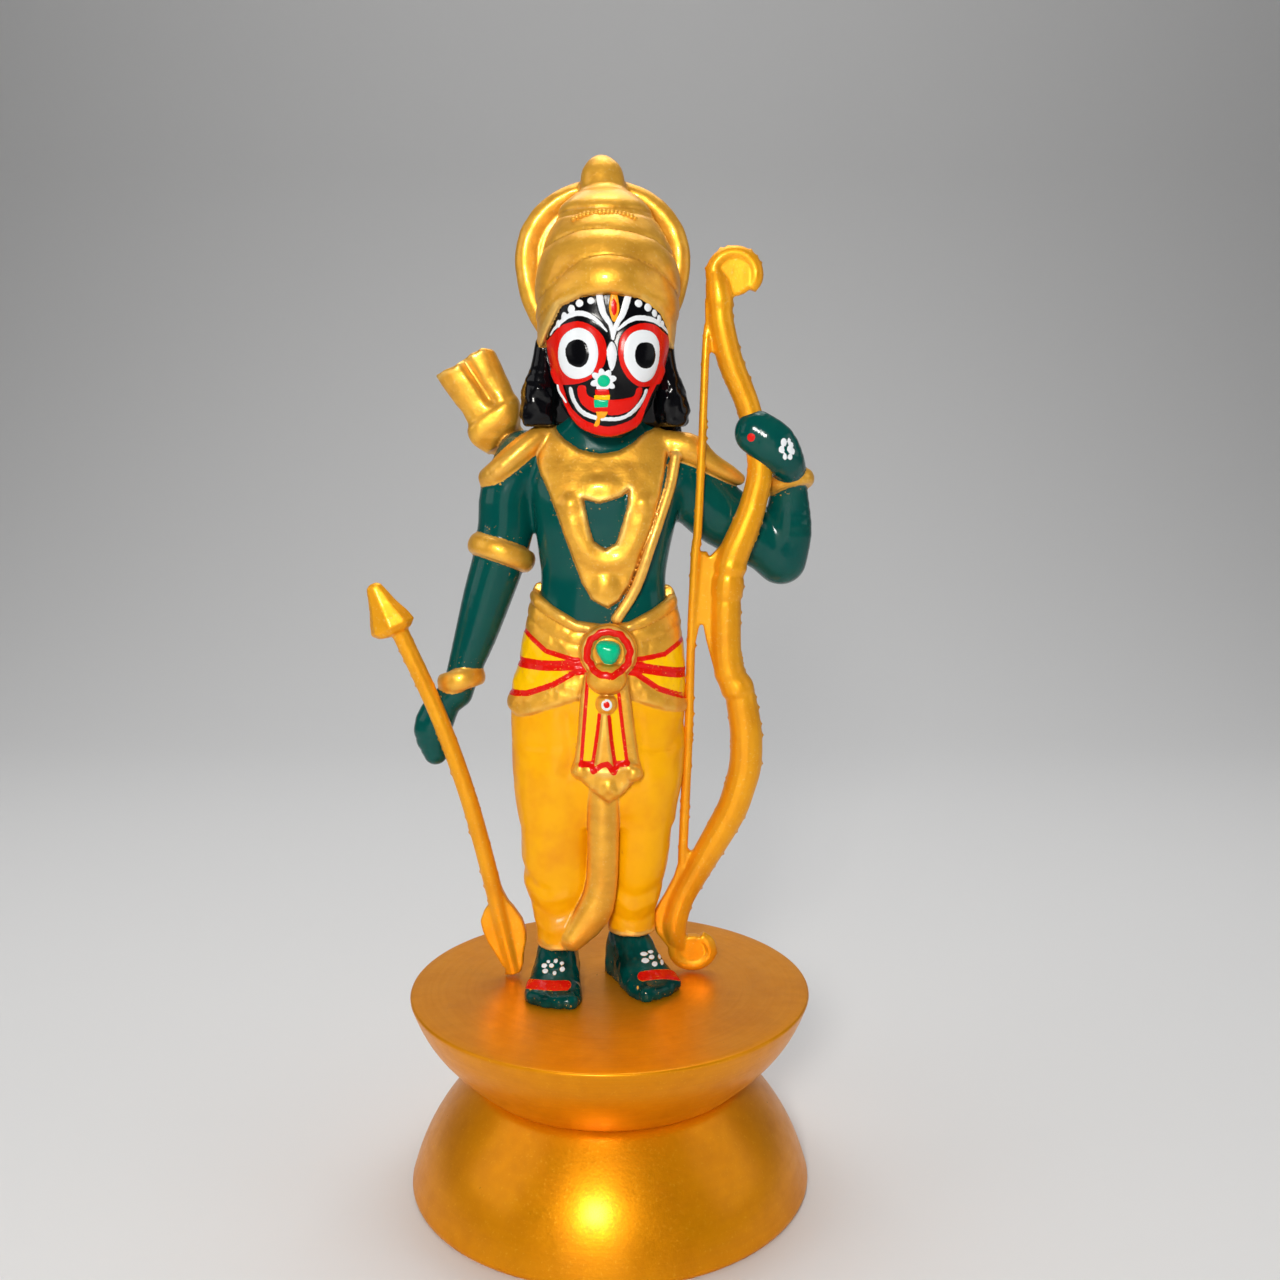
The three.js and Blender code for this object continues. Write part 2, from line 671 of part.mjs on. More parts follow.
function bowSolids(grow = 0) {
  const string = STRING.map(([x, z]) => [x, z, STRING_RADIUS]);
  const parts = [
    bowRod(BOW_LIMB, { grow, sides: 6, steps: 18 }),
    bowRod(string, { grow, sides: 4, ends: [] }),
    bowRod(TOP_SCROLL, { grow, sides: 6, steps: 6 }),
    bowRod(FOOT_SCROLL, { grow, sides: 6, steps: 7 }),
    GRIP_RINGS.map(([x, z, radius]) => ball(x, 0, z, radius + grow, radius + grow, 1.0 + grow, 8)),
    web([[13.7, 131], [16.4, 131], [17.4, 122.6], [13.9, 124.0]], grow),
    web([[12.7, 94.6], [18, 93], [18, 80.8], [14.2, 80.2], [12.5, 77]], grow),
    web([[11.2, 50.4], [14, 48.4], [10.6, 40.0], [10.6, 42.6]], grow),
  ];
  return joined(parts.flat().map(inBowPlane));
}

const HEAD_LENGTH = 7.4;
const HEAD_RADIUS = 3.5;

function arrowHead() {
  const profile = [[0, -1.2], [1.2, -1.2], [HEAD_RADIUS, 0], [1.4, 4.0], [0.35, HEAD_LENGTH - 1.1], [0, HEAD_LENGTH - 1.1]];
  const points = profile.map(([radius, height]) => new THREE.Vector2(radius, height));
  const head = new THREE.LatheGeometry(points, 8).rotateX(Math.PI / 2).scale(1, 0.62, 1);
  return head.rotateY(THREE.MathUtils.degToRad(-24)).translate(-31.6, -1.0, 84.4);
}

function fletching() {
  const outline = [[-18.0, 42.0], [-19.8, 39.0], [-18.4, 35.2], [-15.6, 31.0], [-13.6, 31.0], [-12.9, 36.2], [-13.7, 40.0], [-16.6, 42.0]];
  return slab(outline, 1.7, 3.1);
}

function arrowSolids(grow = 0) {
  const shaft = ARROW.map(([x, y, z]) => [x, y, z, SHAFT_RADIUS, SHAFT_RADIUS]);
  const parts = joined(limb(shaft, { grow, sides: 7, steps: 6 }), arrowHead(), fletching());
  const ground = new THREE.BoxGeometry(60, 60, 10).translate(0, 0, PLINTH_HEIGHT - 5);
  return parts.subtract(solid(ground));
}

// The figure is one casting: body, clothing, crown and quiver in one solid
function figureSolid() {
  const body = joined(
    stack(TORSO),
    trousers(),
    stack(HEAD),
    halo(),
    knob(),
    hair(),
    limb(RIGHT_ARM, { ends: [] }),
    limb(RIGHT_HAND),
    limb(LEFT_UPPER_ARM, { ends: [] }),
    limb(LEFT_FOREARM),
    limb(LEFT_HAND),
    armTrim(),
    quiver(),
    backStrap(),
    chestTrim(),
    scarfFolds(),
    brooch(),
    limb(PLEAT),
  );
  const whole = [crown(), bib(), scarf(), frontSash(), placedFeet()].reduce((all, next) => all.add(next), body);
  return whole.subtract(bowSolids(CLEARANCE)).subtract(arrowSolids(CLEARANCE));
}

// Materials

const figurePaint = new THREE.MeshStandardMaterial({ color: 0xc98a1c, roughness: 0.4, metalness: 0.3 });
const weaponGold = new THREE.MeshStandardMaterial({ color: 0xcf8f22, roughness: 0.35, metalness: 0.6 });
const plinthGold = new THREE.MeshStandardMaterial({ color: 0xb87412, roughness: 0.4, metalness: 0.6 });

// The scene graph

const archer = new THREE.Group();

const plinthFoot = mesh('plinth_foot', solid(lowerDish()), plinthGold);
const plinthTop = mesh('plinth_top', solid(upperDish()), plinthGold);
plinthTop.position.z = PLINTH_JOINT;

archer.add(plinthFoot, plinthTop);
archer.add(mesh('figure', figureSolid(), figurePaint));
archer.add(mesh('bow', bowSolids(), weaponGold));
archer.add(mesh('arrow', arrowSolids(), weaponGold));

export default archer;
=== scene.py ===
# %% [markdown]
# # A painted archer figurine on a turned plinth
# The real thing is a small casting, about as long as a hand, painted by hand in gold, bottle
# green, orange-yellow, red and white, and standing on two wooden dishes turned on a lathe.
# This lesson dresses a plain model of it: the plain solids carry the weight and the size, and
# what Blender adds is the fine carving, the painting and the light.
# The first cell loads the plain model as a frame that nothing here moves.

# %% Load the frame
import math

import bmesh
import bpy
import numpy as np
from mathutils import Matrix, Vector


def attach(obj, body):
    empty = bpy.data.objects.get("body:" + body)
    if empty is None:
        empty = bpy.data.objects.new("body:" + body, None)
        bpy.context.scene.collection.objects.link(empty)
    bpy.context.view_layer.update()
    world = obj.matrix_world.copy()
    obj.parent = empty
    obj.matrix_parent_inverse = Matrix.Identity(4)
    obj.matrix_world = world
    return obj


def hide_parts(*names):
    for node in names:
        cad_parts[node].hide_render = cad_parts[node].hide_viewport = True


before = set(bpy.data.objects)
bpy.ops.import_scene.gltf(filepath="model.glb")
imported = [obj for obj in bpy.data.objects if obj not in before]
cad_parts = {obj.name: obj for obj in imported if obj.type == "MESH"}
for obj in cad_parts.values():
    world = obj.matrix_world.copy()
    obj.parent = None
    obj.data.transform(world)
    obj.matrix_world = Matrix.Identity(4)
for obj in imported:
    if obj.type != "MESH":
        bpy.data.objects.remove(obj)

MM = 0.001
TO_METRES = Matrix.Scale(MM, 4)
ROOT = "root"
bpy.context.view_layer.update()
print("frame nodes:", sorted(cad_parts))

# %% [markdown]
# ## The camera and the light
# The figurine is looked at from a little above its chest, close by, with a lens whose view is as
# wide as it is far. A photograph taken with a flash has one hard light beside the lens; here the
# same light is a soft panel near the camera, so that highlights sit where the flash put them,
# and two wide panels and a pale room fill the shadows.
# Colours of paint are chosen so that the picture shows them plainly, with no film curve.

# %% Camera, lights and floor
CAMERA_PLACE = (4.51, -185.6, 106.8)
CAMERA_TILT = 82.5
LENS = 36.0
SEEN_ROOM = 0.75
DIM_ROOM = 0.1
WARM = (1.0, 0.97, 0.92)


def set_camera():
    camera = bpy.data.objects.new("camera", bpy.data.cameras.new("camera"))
    camera.data.lens = LENS
    camera.data.sensor_width = LENS
    camera.data.clip_start = 0.005
    camera.location = [value * MM for value in CAMERA_PLACE]
    camera.rotation_euler = (math.radians(CAMERA_TILT), 0.0, 0.0)
    bpy.context.scene.collection.objects.link(camera)
    bpy.context.scene.camera = camera


def set_panel(name, place, target, size, power, colour=(1.0, 1.0, 1.0)):
    """A square light panel at a place in millimetres, turned toward a target."""
    light = bpy.data.lights.new(name, "AREA")
    light.size = size * MM
    light.energy = power
    light.color = colour
    panel = bpy.data.objects.new(name, light)
    panel.location = [value * MM for value in place]
    way = np.array(target, float) - np.array(place, float)
    flat = math.hypot(way[0], way[1])
    panel.rotation_euler = (math.atan2(flat, -way[2]), 0.0, math.atan2(-way[0], way[1]))
    bpy.context.scene.collection.objects.link(panel)


def set_room():
    """A room that is pale to look at, and dim where glossy paint mirrors it."""
    room = bpy.data.worlds.new("pale_room")
    room.use_nodes = True
    nodes, links = room.node_tree.nodes, room.node_tree.links
    seen = nodes["Background"]
    seen.inputs["Color"].default_value = (0.80, 0.82, 0.84, 1.0)
    seen.inputs["Strength"].default_value = SEEN_ROOM
    dim = nodes.new("ShaderNodeBackground")
    dim.inputs["Color"].default_value = (0.86, 0.88, 0.92, 1.0)
    dim.inputs["Strength"].default_value = DIM_ROOM
    path = nodes.new("ShaderNodeLightPath")
    mix = nodes.new("ShaderNodeMixShader")
    links.new(path.outputs["Is Camera Ray"], mix.inputs[0])
    links.new(dim.outputs[0], mix.inputs[1])
    links.new(seen.outputs[0], mix.inputs[2])
    links.new(mix.outputs[0], nodes["World Output"].inputs["Surface"])
    bpy.context.scene.world = room


set_camera()
set_panel("key_panel", (-55, -420, 240), (0, 0, 75), 75, 1.35, WARM)
set_panel("low_fill", (-60, -420, 60), (0, 0, 40), 260, 0.2, WARM)
set_panel("left_fill", (-420, -120, 260), (0, 0, 70), 300, 0.32)
set_panel("right_fill", (420, -60, 220), (0, 0, 70), 300, 0.24)
set_panel("top_panel", (0, 160, 520), (0, 0, 80), 420, 1.15)
set_panel("wall_wash", (0, 100, 800), (0, 750, 100), 300, 1.5)
set_room()
bpy.context.scene.view_settings.view_transform = "Standard"
print("camera at", CAMERA_PLACE, "mm, tilted", CAMERA_TILT, "degrees")

# %% [markdown]
# ## Building node trees in script
# Shader trees and geometry trees are both made of nodes and links. One helper adds a node, sets
# its options and fills its sockets in order, where a value may be a number or another node. It
# keeps the recipes below short enough to read as recipes.

# %% A helper that adds nodes


def add(tree, kind, *values, **options):
    """A new node; values go to its inputs in order, and None leaves an input as it is."""
    node = tree.nodes.new(kind)
    for name, option in options.items():
        setattr(node, name, option)
    for socket, value in zip(node.inputs, values):
        join(tree, socket, value)
    return node


def join(tree, socket, value):
    if value is None:
        return
    if isinstance(value, bpy.types.Node):
        value = value.outputs[0]
    if isinstance(value, bpy.types.NodeSocket):
        tree.links.new(value, socket)
    else:
        socket.default_value = value


def maths(tree, operation, *values):
    return add(tree, "ShaderNodeMath", *values, operation=operation)


def number(tree, name):
    """A number kept at every point of a piece."""
    return add(tree, "ShaderNodeAttribute", attribute_name=name).outputs["Fac"]


def mix_colours(tree, factor, first, second):
    mix = tree.nodes.new("ShaderNodeMix")
    mix.data_type = "RGBA"
    for place, value in ((0, factor), (6, first), (7, second)):
        join(tree, mix.inputs[place], value)
    return mix.outputs[2]


def mix_numbers(tree, factor, first, second):
    mix = tree.nodes.new("ShaderNodeMix")
    for place, value in ((0, factor), (2, first), (3, second)):
        join(tree, mix.inputs[place], value)
    return mix.outputs[0]


def between(tree, value, low, high, from_value=0.0, to_value=1.0):
    """A smooth step of a value from low to high."""
    step = add(tree, "ShaderNodeMapRange", value, low, high, from_value, to_value)
    step.interpolation_type = "SMOOTHSTEP"
    return step.outputs[0]


def stretched_noise(tree, scale, detail=2.0, rough=0.5):
    """Noise on the piece's own coordinates, in marks per metre along each axis."""
    place = add(tree, "ShaderNodeTexCoord").outputs["Object"]
    turned = add(tree, "ShaderNodeMapping", place, None, None, scale)
    return add(tree, "ShaderNodeTexNoise", turned, None, 1.0, detail, rough).outputs["Fac"]


def tinted(tree, colour, shade, value, low, high, amount):
    """A colour that drifts toward a shade where a value rises from low to high."""
    return mix_colours(tree, mix_numbers(tree, between(tree, value, low, high), 0.0, amount), colour, shade)


def random_number(tree, low, high, seed):
    """A number of its own for every point or copy, the same in every run."""
    chance = add(tree, "FunctionNodeRandomValue", data_type="FLOAT")
    for place, value in ((2, low), (3, high), (8, seed)):
        join(tree, chance.inputs[place], value)
    return chance.outputs[1]


def new_material(name):
    material = bpy.data.materials.new(name)
    material.use_nodes = True
    return material, material.node_tree, material.node_tree.nodes["Principled BSDF"]


def fill(tree, shader, **sockets):
    """Fills a shader's sockets with what nodes make, or with a number of their own."""
    for name, value in sockets.items():
        join(tree, shader.inputs[name.replace("_", " ")], value)


print("node helpers ready")

# %% [markdown]
# ## Gold paint
# The gold is acrylic paint full of fine metal flakes, brushed on by hand. It isn't polished
# metal: its sheen is broad, it goes brown where it is thin, and the brush leaves fine parallel
# marks. The recipe mixes a warm gold and a brown by noise, stretches a second noise along the
# brush's way for the marks, and uses both for the roughness and bump. Where the flakes lie, the
# colour turns pale: these are painted glints. On the casting the brown also fills grooves, as
# pooled paint and painted shade together. The same recipe serves the plinth, the weapons and the
# casting, with its marks turned.

# %% The gold recipe
FIGURE_TONES = ((0.93, 0.475, 0.05, 1.0), (0.58, 0.21, 0.014, 1.0), (1.0, 0.76, 0.27, 1.0))
WEAPON_TONES = ((0.95, 0.41, 0.01, 1.0), (0.72, 0.24, 0.004, 1.0), (1.0, 0.72, 0.2, 1.0))
PLINTH_TONES = ((0.82, 0.30, 0.001, 1.0), (0.64, 0.205, 0.001, 1.0), (1.0, 0.55, 0.04, 1.0))
LACQUER = 0.15
LACQUER_BLUR = 0.13


def gold_layers(tree, marks, tones):
    """Colour, roughness and height of brushed gold; marks is its scale along each axis."""
    full, thin_and_shade, pale = tones
    clouds = stretched_noise(tree, (190, 190, 190), 3.0, 0.6)
    brush = stretched_noise(tree, marks, 3.0, 0.55)
    flakes = stretched_noise(tree, (2600, 2600, 2600), 1.0, 0.5)
    colour = tinted(tree, full, thin_and_shade, clouds, 0.42, 0.72, 0.35)
    colour = tinted(tree, colour, thin_and_shade, brush, 0.35, 0.75, 0.25)
    # Painted glints: the colour turns pale where the flake noise is high.
    colour = tinted(tree, colour, pale, flakes, 0.6, 0.8, 0.3)
    rough = maths(tree, "ADD", mix_numbers(tree, brush, 0.32, 0.52), mix_numbers(tree, flakes, -0.1, 0.1))
    height = maths(tree, "ADD", brush, maths(tree, "MULTIPLY", flakes, 0.6))
    return colour, rough, height


def gold_paint(name, marks, depth, tones=WEAPON_TONES):
    material, tree, shader = new_material(name)
    colour, rough, height = gold_layers(tree, marks, tones)
    bump = add(tree, "ShaderNodeBump", 0.7, depth * MM, None, height)
    fill(tree, shader, Base_Color=colour, Roughness=rough, Metallic=0.45, Specular_IOR_Level=0.2,
         Coat_Weight=LACQUER, Coat_Roughness=LACQUER_BLUR, Normal=bump)
    return material


weapon_gold = gold_paint("weapon_gold_paint", (700, 700, 240), 0.03)
print("gold for the weapons:", weapon_gold.name)

# %% [markdown]
# ## Geometry Nodes for what follows a rule
# A tree of geometry nodes is made once with named sizes, put on an object as a modifier, and its
# result is then turned into a plain mesh, so that nothing depends on the modifier any more.
# The sizes are set by the identifier of each socket, before the object is first evaluated.

# %% Start a geometry tree and apply it


def start_tree(name, sizes):
    """A geometry tree with one named input for each size, and its input and output nodes."""
    tree = bpy.data.node_groups.new(name, "GeometryNodeTree")
    tree.interface.new_socket("Geometry", in_out="INPUT", socket_type="NodeSocketGeometry")
    for size, value in sizes.items():
        kind = "NodeSocketInt" if isinstance(value, int) else "NodeSocketFloat"
        tree.interface.new_socket(size, in_out="INPUT", socket_type=kind).default_value = value
    tree.interface.new_socket("Geometry", in_out="OUTPUT", socket_type="NodeSocketGeometry")
    return tree, tree.nodes.new("NodeGroupInput")


def end_tree(tree, result, material):
    """Every tree ends with real geometry and its paint."""
    whole = add(tree, "GeometryNodeRealizeInstances", result)
    painted = add(tree, "GeometryNodeSetMaterial", whole, None, material)
    add(tree, "NodeGroupOutput", painted)


def plain_mesh(piece, name):
    """What a piece's modifiers make, as a plain mesh."""
    graph = bpy.context.evaluated_depsgraph_get()
    graph.update()
    mesh = bpy.data.meshes.new_from_object(piece.evaluated_get(graph))
    mesh.name = name
    return mesh


def grow(name, tree, sizes, start=None):
    """An object that carries the mesh a tree makes from its sizes."""
    piece = bpy.data.objects.new(name, start or bpy.data.meshes.new(name))
    bpy.context.scene.collection.objects.link(piece)
    modifier = piece.modifiers.new("rule", "NODES")
    modifier.node_group = tree
    for item in tree.interface.items_tree:
        if item.item_type == "SOCKET" and item.name in sizes:
            modifier[item.identifier] = sizes[item.name]
    mesh = plain_mesh(piece, name)
    piece.modifiers.clear()
    piece.data = mesh
    return piece


def finish_piece(piece, material, slot, *nodes):
    """Smooth shading, paint, and the words that tie a piece to the plain model."""
    piece.data.materials.clear()
    piece.data.materials.append(material)
    piece.data.shade_smooth()
    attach(piece, ROOT)
    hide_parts(*nodes)
    print(f"{piece.name}: {len(piece.data.vertices)} points, {len(piece.data.polygons)} faces")


# %% [markdown]
# ## The plinth
# Two dishes are turned from wood and glued back to back at their narrow ends, then painted gold.
# A dish is a main piece whose shape follows a rule: its wall runs from one radius to another and
# swells a little between them. It could be a cylinder with loops pushed about, but a grid bent
# round by the rule keeps every size editable. The rim's edge is then rounded with a bevel.
# The lathe and the brush both run round the dish, so its marks are thin level rings.

# %% The rule of a turned dish
DISH_SIZES = {
    "Low Radius": 20.5,
    "High Radius": 30.0,
    "Low Height": 17.0,
    "High Height": 30.0,
    "Swell": 1.5,
    "Turns": 193,
    "Rows": 49,
}


def dish_tree(material):
    tree, sizes = start_tree("turned_dish", DISH_SIZES)
    size = sizes.outputs
    grid = add(tree, "GeometryNodeMeshGrid", 1.0, 1.0, size["Turns"], size["Rows"])
    place = add(tree, "ShaderNodeSeparateXYZ", add(tree, "GeometryNodeInputPosition"))
    turn = maths(tree, "MULTIPLY", place.outputs[0], 2 * math.pi)
    along = maths(tree, "MULTIPLY", place.outputs[1], 3.0)
    part = add(tree, "ShaderNodeMapRange", along, -0.5, 0.5, 0.0, 1.0, clamp=True)
    inward = maths(tree, "SUBTRACT", maths(tree, "ABSOLUTE", along), 0.5)
    cap = maths(tree, "SUBTRACT", 1.0, maths(tree, "MAXIMUM", inward, 0.0))
    straight = add(tree, "ShaderNodeMapRange", part, 0.0, 1.0, size["Low Radius"], size["High Radius"])
    bulge = maths(tree, "SINE", maths(tree, "MULTIPLY", part, math.pi))
    radius = maths(tree, "ADD", straight, maths(tree, "MULTIPLY", bulge, size["Swell"]))
    radius = maths(tree, "MULTIPLY", radius, cap)
    height = add(tree, "ShaderNodeMapRange", part, 0.0, 1.0, size["Low Height"], size["High Height"])
    across = maths(tree, "MULTIPLY", radius, maths(tree, "COSINE", turn))
    deep = maths(tree, "MULTIPLY", radius, maths(tree, "SINE", turn))
    spot = add(tree, "ShaderNodeCombineXYZ", across, deep, height)
    bent = add(tree, "GeometryNodeSetPosition", grid, None, spot)
    closed = add(tree, "GeometryNodeMergeByDistance", bent, None, 0.005)
    end_tree(tree, closed, material)
    return tree


RING_DRIFT = 40.0
RINGS_PER_METRE = 1500.0


def ring_paint(name, seed):
    """Gold on turned wood: rings of the tool and the brush round the dish."""
    material, tree, shader = new_material(name)
    place = add(tree, "ShaderNodeTexCoord").outputs["Object"]
    apart = add(tree, "ShaderNodeSeparateXYZ", place)
    squares = [maths(tree, "POWER", apart.outputs[axis], 2.0) for axis in (0, 1)]
    radius = maths(tree, "SQRT", maths(tree, "ADD", *squares))
    across = [maths(tree, "MULTIPLY", apart.outputs[axis], RING_DRIFT) for axis in (0, 1)]
    up = maths(tree, "MULTIPLY", maths(tree, "ADD", apart.outputs[2], radius), RINGS_PER_METRE)
    spot = add(tree, "ShaderNodeCombineXYZ", *across, up)
    rings = add(tree, "ShaderNodeTexNoise", spot, seed, 1.0, 3.0, 0.6, noise_dimensions="4D").outputs["Fac"]
    colour, rough, height = gold_layers(tree, (420, 420, 420), PLINTH_TONES)
    colour = tinted(tree, colour, PLINTH_TONES[1], rings, 0.38, 0.68, 0.2)
    rough = maths(tree, "ADD", rough, mix_numbers(tree, rings, -0.12, 0.02))
    tall = maths(tree, "ADD", maths(tree, "MULTIPLY", rings, 0.8), maths(tree, "MULTIPLY", height, 0.5))
    bump = add(tree, "ShaderNodeBump", 0.6, 0.05 * MM, None, tall)
    fill(tree, shader, Base_Color=colour, Roughness=rough, Metallic=0.55, Specular_IOR_Level=0.1,
         Coat_Weight=LACQUER * 0.8, Coat_Roughness=0.2, Normal=bump)
    return material


plinth_paint = ring_paint("plinth_gold_paint", 3.0)
dish_rule = dish_tree(plinth_paint)
print("dish rule inputs:", [item.name for item in dish_rule.interface.items_tree])

# %% [markdown]
# The upper dish is the rule as it stands. The lower one is the same rule turned over: wide below,
# narrow above, with a softer and rounder edge where it stands on the table.

# %% Turn the two dishes
RIM_ROUNDING = 0.5
BASE_ROUNDING = 1.1
RIM_ANGLE = 0.7


def opened(piece):
    """A piece's mesh, opened for editing."""
    shape = bmesh.new()
    shape.from_mesh(piece.data)
    return shape


def write_back(shape, piece):
    shape.to_mesh(piece.data)
    shape.free()


def turn_outward(shape):
    bmesh.ops.recalc_face_normals(shape, faces=shape.faces)


def turned(name, sizes, rounding, node):
    piece = grow(name, dish_rule, {**DISH_SIZES, **sizes})
    shape = opened(piece)
    turn_outward(shape)
    joins = [edge for edge in shape.edges if len(edge.link_faces) == 2]
    rims = [edge for edge in joins if edge.calc_face_angle() > RIM_ANGLE]
    bmesh.ops.bevel(shape, geom=rims, offset=rounding, segments=4, profile=0.5, affect="EDGES")
    turn_outward(shape)
    write_back(shape, piece)
    piece.data.transform(TO_METRES)
    finish_piece(piece, plinth_paint, "plinth_gold", node)


turned("plinth_upper_dish", {}, RIM_ROUNDING, "plinth_top")
lower_sizes = {"Low Radius": 30.4, "High Radius": 20.5, "Low Height": 0.0, "High Height": 17.0, "Swell": 1.6}
turned("plinth_lower_dish", lower_sizes, BASE_ROUNDING, "plinth_foot")

# %% [markdown]
# ## Casting soft forms
# The figure is one casting: a body, its cloth and its trimmings melt into each other, then
# details are pressed into the surface. Joining separate meshes would leave hard seams, and
# sculpting by hand can't be repeated. So every form is a function that says how far a place is
# from its surface, less than nothing inside. Two forms melt by a soft minimum of their
# distances, a trim lies on cloth where its outline and a raised skin overlap, and at the end
# the surface is drawn through all the places whose distance is nought.
# Forms work on a space: three arrays of x, y and z in millimetres, either the axes of a box of
# grid points or a loose list of places, such as the points of a finished mesh.

# %% The ways forms meet
REACH = 3.0


def melt(first, second, blend):
    """The union of two forms with a fillet of about blend millimetres."""
    if blend <= 0:
        return np.minimum(first, second)
    near = np.maximum(blend - np.abs(first - second), 0) / blend
    return np.minimum(first, second) - near * near * blend / 4


def overlap(first, second, blend):
    """What lies inside both forms, with its edge rounded by about blend millimetres."""
    return -melt(-first, -second, blend)


def window(space, low, high):
    """The part of a space near a box, and where it lies in the whole."""
    keep = [(axis > lo - REACH) & (axis < hi + REACH) for axis, lo, hi in zip(space, low, high)]
    if space[0].ndim == 1:
        place = keep[0] & keep[1] & keep[2]
        return [axis[place] for axis in space], place
    place = []
    for kept in keep:
        found = np.flatnonzero(kept)
        place.append(slice(found[0], found[-1] + 1) if len(found) else slice(0, 0))
    part = [space[0][place[0]], space[1][:, place[1]], space[2][:, :, place[2]]]
    return part, tuple(place)


def nothing(space):
    """A form that is nowhere: every place is REACH millimetres away from it."""
    return np.full(np.broadcast(*space).shape, REACH, np.float32)


def spread(space, place, values):
    """Puts a window's values back, with nothing round them."""
    whole = nothing(space)
    whole[place] = values
    return whole


def melt_all(whole, forms, space, blend):
    """Melts forms into a whole, one after another, with the same fillet."""
    for form in forms:
        whole = melt(whole, form(space), blend)
    return whole


print("forms are cut off", REACH, "mm from their box")

# %% Smooth rows, stacks and rods
SQUARENESS = 2.3


def smooth_rows(rows, steps=6):
    """A smooth curve through rows of numbers, one number in each column."""
    rows = np.array(rows, float)
    padded = np.vstack([rows[:1], rows, rows[-1:]])
    made = []
    for before, start, end, after in zip(padded, padded[1:], padded[2:], padded[3:]):
        for f in np.arange(steps) / steps:
            lift, drop = (end - before) / 2, (after - start) / 2
            made.append((2 * f**3 - 3 * f**2 + 1) * start + (f**3 - 2 * f**2 + f) * lift
                        + (3 * f**2 - 2 * f**3) * end + (f**3 - f**2) * drop)
    return np.array(made + [rows[-1]])


def section_at(table, z):
    """The middle x and y, half width and half depth of level sections at a height."""
    return [np.interp(z, table[:, 0], table[:, column]) for column in (1, 2, 3, 4)]


def stack(rows, power=SQUARENESS):
    """An upright form through level sections: height, middle x and y, half width and depth."""
    table = smooth_rows(rows)
    reach = table[:, 3:5].max(0)
    low = [*(table[:, 1:3].min(0) - reach), table[0, 0]]
    high = [*(table[:, 1:3].max(0) + reach), table[-1, 0]]

    def form(space):
        (x, y, z), place = window(space, low, high)
        middle_x, middle_y, wide, deep = section_at(table, z)
        across = np.abs(x - middle_x) / wide
        back = np.abs(y - middle_y) / deep
        size = (across**power + back**power + 1e-9) ** (1 / power)
        slope = np.hypot(across ** (power - 1) / wide, back ** (power - 1) / deep) * size ** (1 - power)
        side = (size - 1) / np.maximum(slope, 0.02)
        end = np.maximum(table[0, 0] - z, z - table[-1, 0])
        outside = np.hypot(np.maximum(side, 0), np.maximum(end, 0))
        return spread(space, place, outside + np.minimum(np.maximum(side, end), 0))
    return form


def rod(stations, steps=3):
    """A limb along a route: x, y, z, half width, half depth at each station."""
    table = smooth_rows([[*station, station[-1]][:5] for station in stations], steps)
    low = (table[:, :3] - table[:, 3:4]).min(0)
    high = (table[:, :3] + table[:, 3:4]).max(0)

    def form(space):
        (x, y, z), place = window(space, low, high)
        nearest = np.float32(1e3)
        for start, end in zip(table, table[1:]):
            way = end[:3] - start[:3]
            long = max(float(way @ way), 1e-9)
            along = ((x - start[0]) * way[0] + (y - start[1]) * way[1] + (z - start[2]) * way[2]) / long
            along = np.clip(along, 0, 1)
            wide = start[3] + along * (end[3] - start[3])
            deep = start[4] + along * (end[4] - start[4])
            off_x = x - start[0] - along * way[0]
            off_y = (y - start[1] - along * way[1]) * wide / deep
            off_z = z - start[2] - along * way[2]
            nearest = np.minimum(nearest, np.sqrt(off_x**2 + off_y**2 + off_z**2) - wide)
        return spread(space, place, nearest)
    return form


print("smooth rows through three heights:", smooth_rows([[0, 1], [1, 2], [2, 1]], 2).tolist())

# %% Balls, rings and outlines


def ball(x, y, z, wide, deep, tall):
    low = (x - wide, y - deep, z - tall)
    high = (x + wide, y + deep, z + tall)

    def form(space):
        (px, py, pz), place = window(space, low, high)
        size = np.sqrt(((px - x) / wide)**2 + ((py - y) / deep)**2 + ((pz - z) / tall)**2 + 1e-9)
        slope = np.sqrt(((px - x) / wide**2)**2 + ((py - y) / deep**2)**2 + ((pz - z) / tall**2)**2) / size
        return spread(space, place, (size - 1) / np.maximum(slope, 0.05))
    return form


def hoop(centre, axis, radius, thick, tall):
    """A ring round an axis, thick outward and tall along the axis."""
    axis = np.array(axis, float) / np.linalg.norm(axis)
    reach = radius + thick
    low, high = [c - reach for c in centre], [c + reach for c in centre]

    def form(space):
        (x, y, z), place = window(space, low, high)
        off = [x - centre[0], y - centre[1], z - centre[2]]
        along = off[0] * axis[0] + off[1] * axis[1] + off[2] * axis[2]
        out = np.sqrt(np.maximum(off[0]**2 + off[1]**2 + off[2]**2 - along**2, 0))
        size = np.hypot((out - radius) / thick, along / tall)
        return spread(space, place, (size - 1) * min(thick, tall))
    return form


def to_segment(start, end, x, z):
    """Distance in x and z to a straight line from start to end."""
    way = end - start
    along = np.clip(((x - start[0]) * way[0] + (z - start[1]) * way[1]) / (way @ way), 0, 1)
    return np.hypot(x - start[0] - along * way[0], z - start[1] - along * way[1])


def outline(points, x, z):
    """Distance to a closed outline drawn in x and z, less than nothing inside it."""
    points = np.array(points, float)
    nearest = np.float32(1e6)
    inside = np.zeros(np.broadcast(x, z).shape, bool)
    for start, end in zip(points, np.roll(points, -1, 0)):
        nearest = np.minimum(nearest, to_segment(start, end, x, z))
        way = end - start
        crosses = (start[1] > z) != (end[1] > z)
        if way[1] != 0:
            inside ^= crosses & (x < start[0] + (z - start[1]) / way[1] * way[0])
    return np.where(inside, -nearest, nearest)


